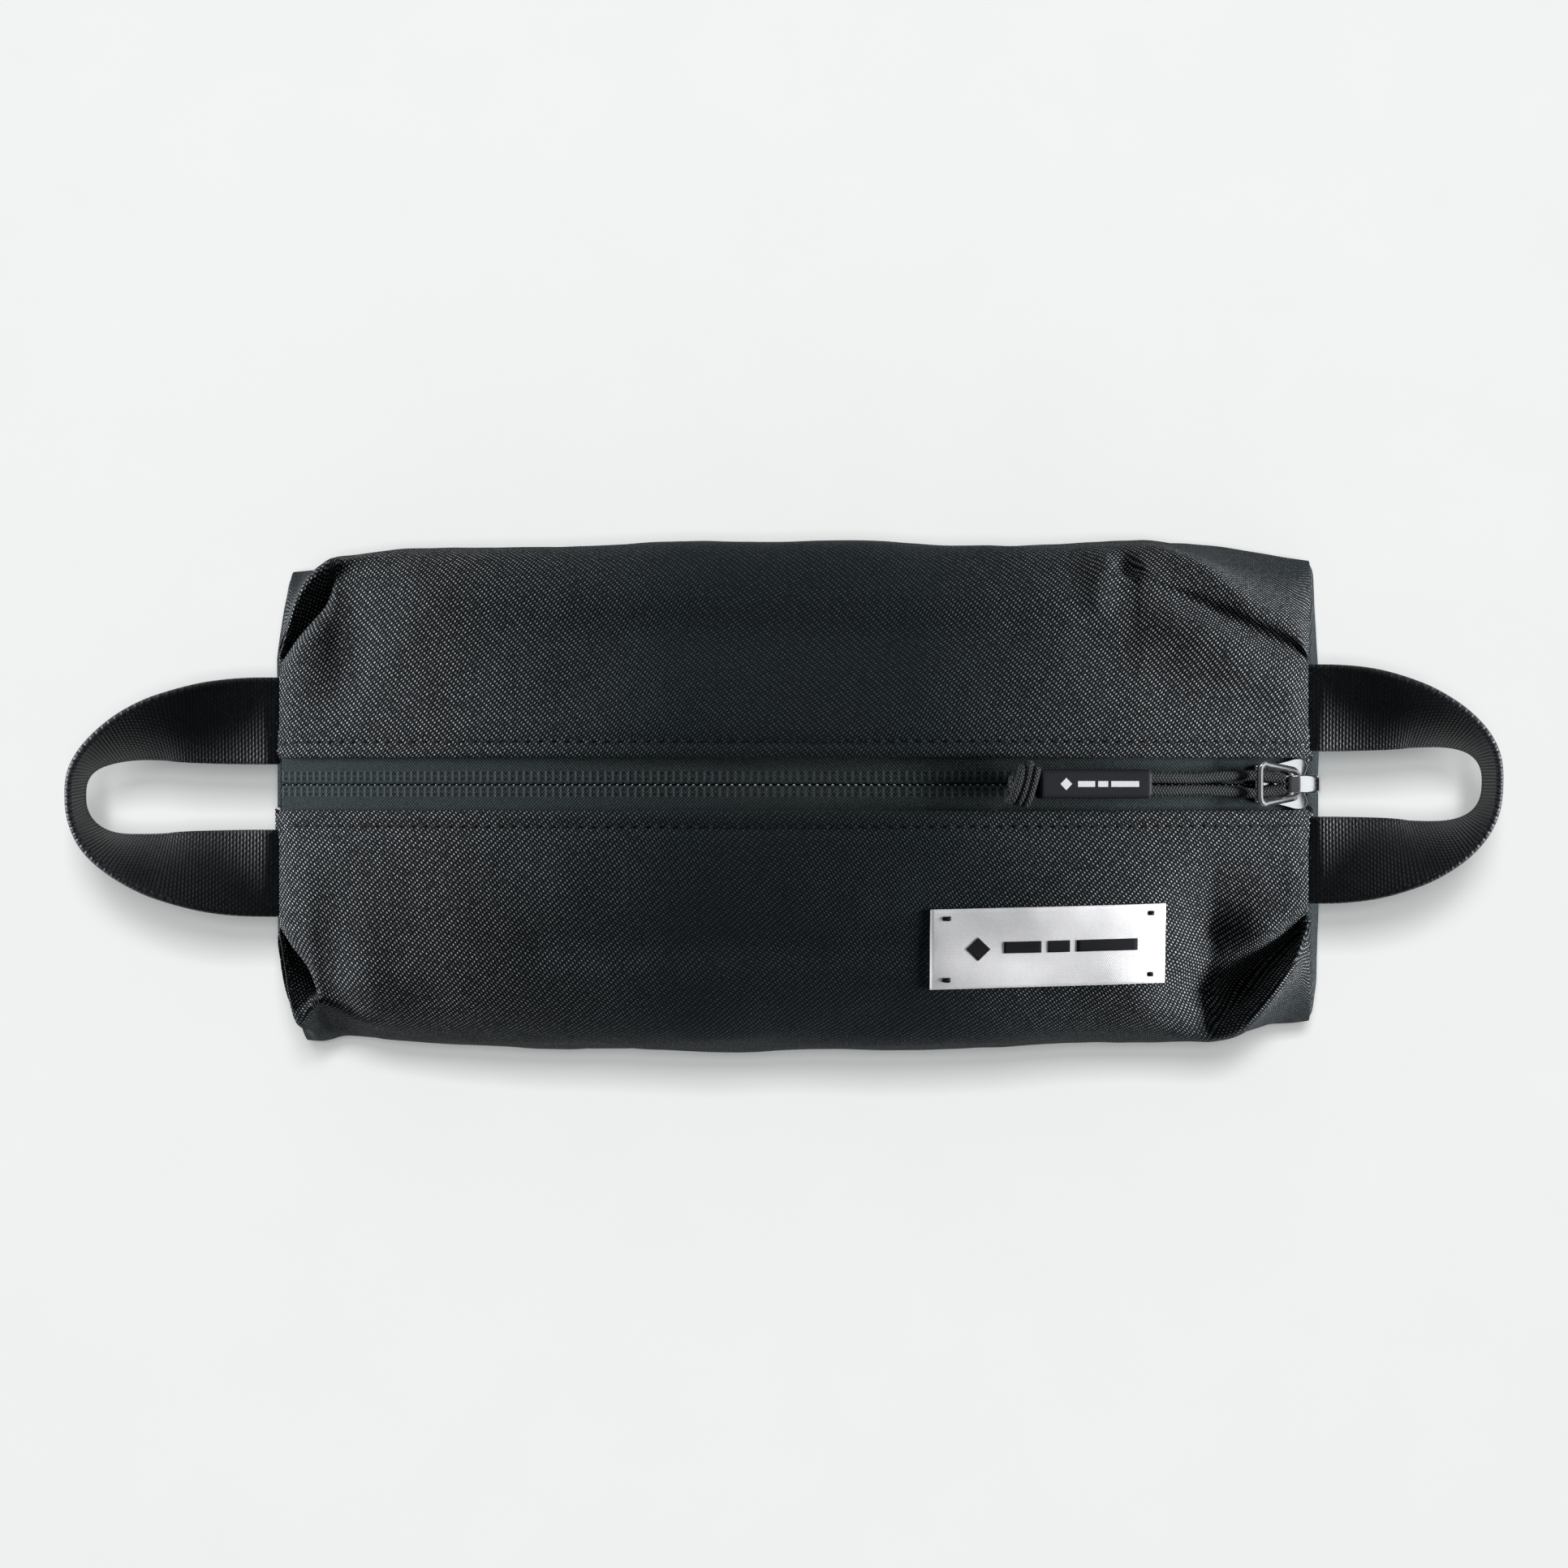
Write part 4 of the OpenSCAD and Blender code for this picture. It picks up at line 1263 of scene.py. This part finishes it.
tacks = []
for u in (-1, 1):
    for v in (-1, 1):
        x = LABEL_X + u * (LABEL_LONG / 2 - 3.6)
        y = LABEL_Y + v * ((LABEL_TOP - LABEL_BOTTOM) / 2 - 2.0) + ASKEW * (x - LABEL_X)
        for k in range(5):
            place, normal = drop(label_tree, x, y - 0.36 + 0.18 * k)
            lift = 0.5 + 0.06 * (k % 2)
            tacks.append((place + normal * lift, np.array([1.0, 0.03 * (k - 2), 0]), normal))
tack_look = stitch_row("label_tacks_look", tacks, long=2.3, wide=0.3, lift=0.12)
dress(tack_look, "thread", "label_tacks")
bend_with_mouth(tack_look, -1)

# ---- Webbing loops ----


def webbing(name, end, reach, offset, material):
    """A strap that leaves the seam flat and turns to stand on its edge at the tip."""
    gap, wide, thick = 35.0, 20.0, 1.5
    profile = []
    for k in range(21):
        y = mix(-wide / 2 + 0.35, wide / 2 - 0.35, k / 20)
        profile.append((y, thick / 2 * (1.12 if abs(y) > 9.0 else 0.92)))
    profile.append((wide / 2, 0.28))
    profile.append((wide / 2, -0.28))
    profile += [(y, -h) for y, h in profile[20::-1]]
    profile += [(-wide / 2, -0.28), (-wide / 2, 0.28)]
    n = len(profile)
    steps = 150

    def place(a):
        """Middle line: straight into the seam outside 0 to 180 degrees."""
        c, t = math.cos(a), math.sin(a)
        if t < 0:
            return np.array([1.1 - 9 * abs(t), math.copysign(gap / 2, c), -2.0 - 16 * abs(t)])
        sway = 0.8 * noise.noise(Vector((a * 1.3, end * 4.0, 2.0))) * t
        return np.array([1.1 + reach * t**0.8, math.copysign(gap / 2, c) * abs(c) ** 0.8,
                         4.0 * smooth(t / 0.5) - 2.0 + sway])

    points, flat = [], []
    travelled, before = 0.0, None
    for i in range(steps + 1):
        a = mix(-0.5, math.pi + 0.5, i / steps)
        here = place(a)
        tangent = place(a + 0.02) - place(a - 0.02)
        tangent /= np.linalg.norm(tangent)
        inner = max(0.0, min(math.pi, a))
        c, t = math.cos(inner), math.sin(inner)
        out = np.array([gap / 2 * t**1.2, math.copysign(reach, c) * abs(c) ** 1.2, 0.0])
        out /= max(np.linalg.norm(out), 1e-6)
        lean = math.radians(87) * t**0.95
        across = out * math.cos(lean) + np.array([0, 0, math.sin(lean)])
        across -= tangent * (across @ tangent)
        across /= np.linalg.norm(across)
        normal = np.cross(tangent, across)
        if before is not None:
            travelled += np.linalg.norm(here - before)
        before = here
        ripple = 0.25 * noise.noise(Vector((travelled / 14, end * 2.0, 5.0)))
        for y, h in profile:
            p = here + across * y + normal * (h + ripple)
            points.append((BODY_X + end * (HALF + p[0]), p[1] + offset, SEAM_Z + p[2]))
            flat.append((travelled, y))
    faces = grid_faces(steps + 1, n, closed=True, flip=end < 0)
    faces += [list(range(n))[::-1], list(range(steps * n, steps * n + n))]
    return make_mesh(name, points, faces, material, flat)


loops = []
for end, word, reach, offset in ((-1, "left", 45.0, -3.0), (1, "right", 40.5, 0.0)):
    loop = webbing(f"{word}_loop_look", end, reach, offset, M["webbing"])
    dress(loop, "webbing", f"{word}_loop")
    seam_x = BODY_X + end * (HALF + 0.6)
    seam_x / MM
    SEAM_Z / MM
    (seam_x + end * 8) / MM
    SEAM_Z / MM
    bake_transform(loop)
    loops.append(loop)

# ---- Slider and ring ----


def plate(name, outline, low, high, dome=0.0):
    """A flat plate from an outline, with softened edges, drawn at the top of the arch."""
    n = len(outline)
    points = [(x, y, low) for x, y in outline] + [(x, y, high) for x, y in outline]
    faces = [list(range(n))[::-1], list(range(n, 2 * n))]
    faces += [[k, (k + 1) % n, n + (k + 1) % n, n + k] for k in range(n)]
    obj = make_mesh(name, points, faces, M["slider"])
    bevel(obj, 0.3)
    if dome:
        co = coords(obj)
        co[:, 2] += dome * (1 - (co[:, 1] / 5.5) ** 2) * (co[:, 2] > (low + high) / 2)
        set_coords(obj, co)
    return obj


def slider_outline(long, wide, short=0.0):
    """Narrow where the closed coils leave, with two wide shoulders in front."""
    keys = [(-long / 2, 0.0), (-long / 2, 0.31), (-long * 0.42, 0.385), (-long * 0.1, 0.41),
            (long * 0.12, 0.46), (long * 0.26, 0.5), (long * 0.42 - short, 0.5), (long / 2 - short, 0.41),
            (long / 2 - short, 0.3), (long * 0.43 - short, 0.12), (long * 0.42 - short, 0.0)]
    right = spline([(x, y * wide, 0) for x, y in keys], 0.45)[:, :2]
    right[:, 1] = np.maximum(right[:, 1], 0)
    left = right[::-1].copy()
    left[:, 1] *= -1
    return [tuple(p) for p in right] + [tuple(p) for p in left[1:-1]]


PLATE_LOW = TAPE_R + 0.45
PLATE_TOP = PLATE_LOW + 1.0
LOWER_TOP = TAPE_R - 2.45
SLIDER_LONG, SLIDER_WIDE = 14.5, 11.6
CROWN_AT = 3.6

upper = plate("upper", slider_outline(SLIDER_LONG, SLIDER_WIDE), PLATE_LOW, PLATE_TOP - 0.1, 0.22)
lower = plate("lower", slider_outline(SLIDER_LONG, SLIDER_WIDE, 1.5), LOWER_TOP - 1, LOWER_TOP)
post = tube("post", [(2.9, 0, LOWER_TOP - 0.6), (2.9, 0, PLATE_LOW + 0.5)], 1.3, M["slider"], sides=24)
rails = []
for side in (-1, 1):
    y = side * (SLIDER_WIDE * 0.36 - 0.45)
    rail = rounded_bar("rail", SLIDER_LONG * 0.5, 0.9, 1.7, M["slider"], 0.4, 10)
    set_coords(rail, coords(rail) + np.array([-SLIDER_LONG / 4 + 1, y, LOWER_TOP + 0.5]))
    rails.append(rail)
body_look = joined("slider_body_look", [upper, lower, post] + rails)


def crown():
    """Curved strap over the slider, open underneath for the ring."""
    path = spline([(-2.9, 0, 0.1), (-2.85, 0, 1.5), (-2.1, 0, 3.0), (-0.4, 0, 3.55), (2.4, 0, 3.5),
                   (4.4, 0, 3.1), (5.1, 0, 2.2), (4.6, 0, 1.2), (3.4, 0, 0.5), (3.0, 0, 0.1)], 0.3)
    strap = tube("crown", path, 1.0, M["slider"], sides=20, up=(0, 1, 0))
    n = len(path)
    co = np.zeros((n, 20, 3))
    for i in range(n):
        tangent = path[min(i + 1, n - 1)] - path[max(i - 1, 0)]
        tangent /= np.linalg.norm(tangent)
        normal = np.cross(tangent, [0, 1.0, 0])
        s = i / (n - 1)
        half = mix(1.85, 2.1, math.sin(math.pi * s))
        for k in range(20):
            a = 2 * math.pi * k / 20
            out, up = (math.copysign(abs(c) ** 0.5, c) for c in (math.cos(a), math.sin(a)))
            co[i, k] = path[i] + half * out * np.array([0, 1.0, 0]) + 0.55 * up * normal
    set_coords(strap, co.reshape(-1, 3) + np.array([CROWN_AT, 0, PLATE_TOP]))
    return strap


crown_look = crown()
crown_look.name = "slider_crown_look"
pin = rounded_bar("slider_lock_pin_look", 1.2, 1.1, 0.8, M["slider"], 0.25, 8)
set_coords(pin, coords(pin) + np.array([CROWN_AT + 1.4, 0, PLATE_TOP + 0.25]))
for obj, node in ((body_look, "slider_body"), (crown_look, "slider_crown"), (pin, "slider_lock_pin")):
    set_coords(obj, on_arc(coords(obj), SLIDER_ANGLE))
    dress(obj, "slider_metal", node, body="slider")


def ring_piece():
    """Trapezoid ring of round wire with rounded corners."""
    near, far, narrow, wide, r = 0.0, -12.4, 2.95, 4.75, 2.2
    corners = [(near, narrow), (far, wide), (far, -wide), (near, -narrow)]
    path = []
    for i, corner in enumerate(corners):
        here = np.array(corner, float)
        before = np.array(corners[i - 1], float)
        after = np.array(corners[(i + 1) % 4], float)
        a = here + r * (before - here) / np.linalg.norm(before - here)
        b = here + r * (after - here) / np.linalg.norm(after - here)
        for t in np.linspace(0, 1, 7):
            path.append((1 - t) ** 2 * a + 2 * t * (1 - t) * here + t**2 * b)
    full = []
    for i, p in enumerate(path):
        q = path[(i + 1) % len(path)]
        count = max(1, int(np.linalg.norm(q - p) / 0.5))
        full += [p + (q - p) * k / count for k in range(count)]
    return tube("pull_ring_look", [(x, y, 0) for x, y in full], 0.76, M["ring"], sides=20, closed=True)


ring = ring_piece()
tilt = rot_y(math.radians(9.5))
set_coords(ring, coords(ring) @ tilt.T + np.array([CROWN_AT, 0, PLATE_TOP + 1.6]))
set_coords(ring, on_arc(coords(ring), SLIDER_ANGLE))
dress(ring, "ring_metal", "pull_ring", body="ring")

# ---- The pull rides as one ----



def sleeve_bar(low, high):
    """One of the label's bars, as small as on the sleeve."""
    first, last = BARS[0][0], BARS[-1][1]
    near, far = (mix(-4.5, 10.2, (at - first) / (last - first)) for at in (low, high))
    return [(near, -0.65), (far, -0.65), (far, 0.65), (near, 0.65)]


marks = []
diamond = [(-8.7, 0), (-7.3, -1.4), (-5.9, 0), (-7.3, 1.4)]
for outline in [diamond] + [sleeve_bar(*bar) for bar in BARS]:
    local = np.array([(x, y, CORD_R + PULL_UP + SLEEVE_THICK / 2 + 0.005) for x, y in outline])
    angle = SLIDER_ANGLE - (SLEEVE_FROM + SLEEVE_LONG / 2) / ARC_R
    shape = make_mesh("mark", on_arc(local, angle), [[0, 1, 2, 3]], M["sleeve_ink"], flat_shading=True)
    marks.append(thicken(shape, 0.05, 1))

dress(sleeve, "sleeve_rubber", "cord_sleeve", body="pull")
dress(knot_look, "cord_braid", "cord_knot", body="pull")
dress(joined("sleeve_print", marks), "sleeve_rubber", body="pull")
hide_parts("pull_cord")
for strand, line in strands:
    dress(strand, "cord_braid", body="pull")

# ---- Floor and light ----

floor_mat = Nodes("floor")
floor_grain = floor_mat.noise(40, 2)
floor_mat.finish(floor_mat.colours(floor_grain, (0.87, 0.88, 0.875), (0.89, 0.90, 0.895)), 0.9)
floor_corners = [(3000 * x, 3000 * y, -0.3) for x, y in ((-1, -1), (1, -1), (1, 1), (-1, 1))]
floor = make_mesh("floor", floor_corners, [[0, 1, 2, 3]], floor_mat.material)


def softbox(name, place, target, wide, high, power):
    light = bpy.data.lights.new(name, "AREA")
    light.shape = "RECTANGLE"
    light.size, light.size_y = wide, high
    light.energy = power
    obj = bpy.data.objects.new(name, light)
    obj.location = place
    obj.rotation_euler = (Vector(target) - Vector(place)).to_track_quat("-Z", "Y").to_euler()
    bpy.context.scene.collection.objects.link(obj)
    return obj


def lit(name, state, objs):
    """A collection for light linking: a light with it lights only these, or all but these."""
    group = bpy.data.collections.new(name)
    for obj in objs:
        group.objects.link(obj)
    for member in group.collection_objects:
        member.light_linking.link_state = state
    return group


metals = [body_look, crown_look, pin, ring]
floor_only = lit("floor_only", "INCLUDE", [floor])
not_floor = lit("not_floor", "EXCLUDE", [floor])
metal_only = lit("metal_only", "INCLUDE", metals)
cloth_only = lit("cloth_only", "EXCLUDE", [floor] + metals)
not_loops = lit("not_loops", "EXCLUDE", loops)
for name, place, target, wide, high, power, group in (
    ("overhead", (0.0, 0.0, 2.5), (0, 0, 0), 0.3, 0.3, 27.6, floor_only),
    ("overhead_back", (0.0, 0.36, 2.5), (0, 0, 0), 0.3, 0.3, 27.6, floor_only),
    ("left_side", (-1.6, 0.15, 0.2), (0, 0, 0.07), 1.0, 0.3, 82, cloth_only),
    ("right_side", (1.6, -0.05, 0.2), (0, 0, 0.07), 1.0, 0.3, 92, cloth_only),
    ("back_soft", (0.0, 1.5, 1.0), (0, 0, 0.06), 1.4, 0.6, 8.5, not_floor),
    ("metal_glint", (1.15, 0.0, 0.5), (0.11, 0, 0.07), 1.8, 1.0, 8, metal_only),
):
    light = softbox(name, place, target, wide, high, power)
    light.light_linking.receiver_collection = group
    if name.endswith("_side"):
        light.light_linking.blocker_collection = not_loops
world = bpy.data.worlds.new("world")
bpy.context.scene.world = world
world.use_nodes = True
world.node_tree.nodes["Background"].inputs["Color"].default_value = (0.97, 1.0, 1.0, 1)
world.node_tree.nodes["Background"].inputs["Strength"].default_value = 0.14
bpy.context.scene.view_settings.view_transform = "Standard"
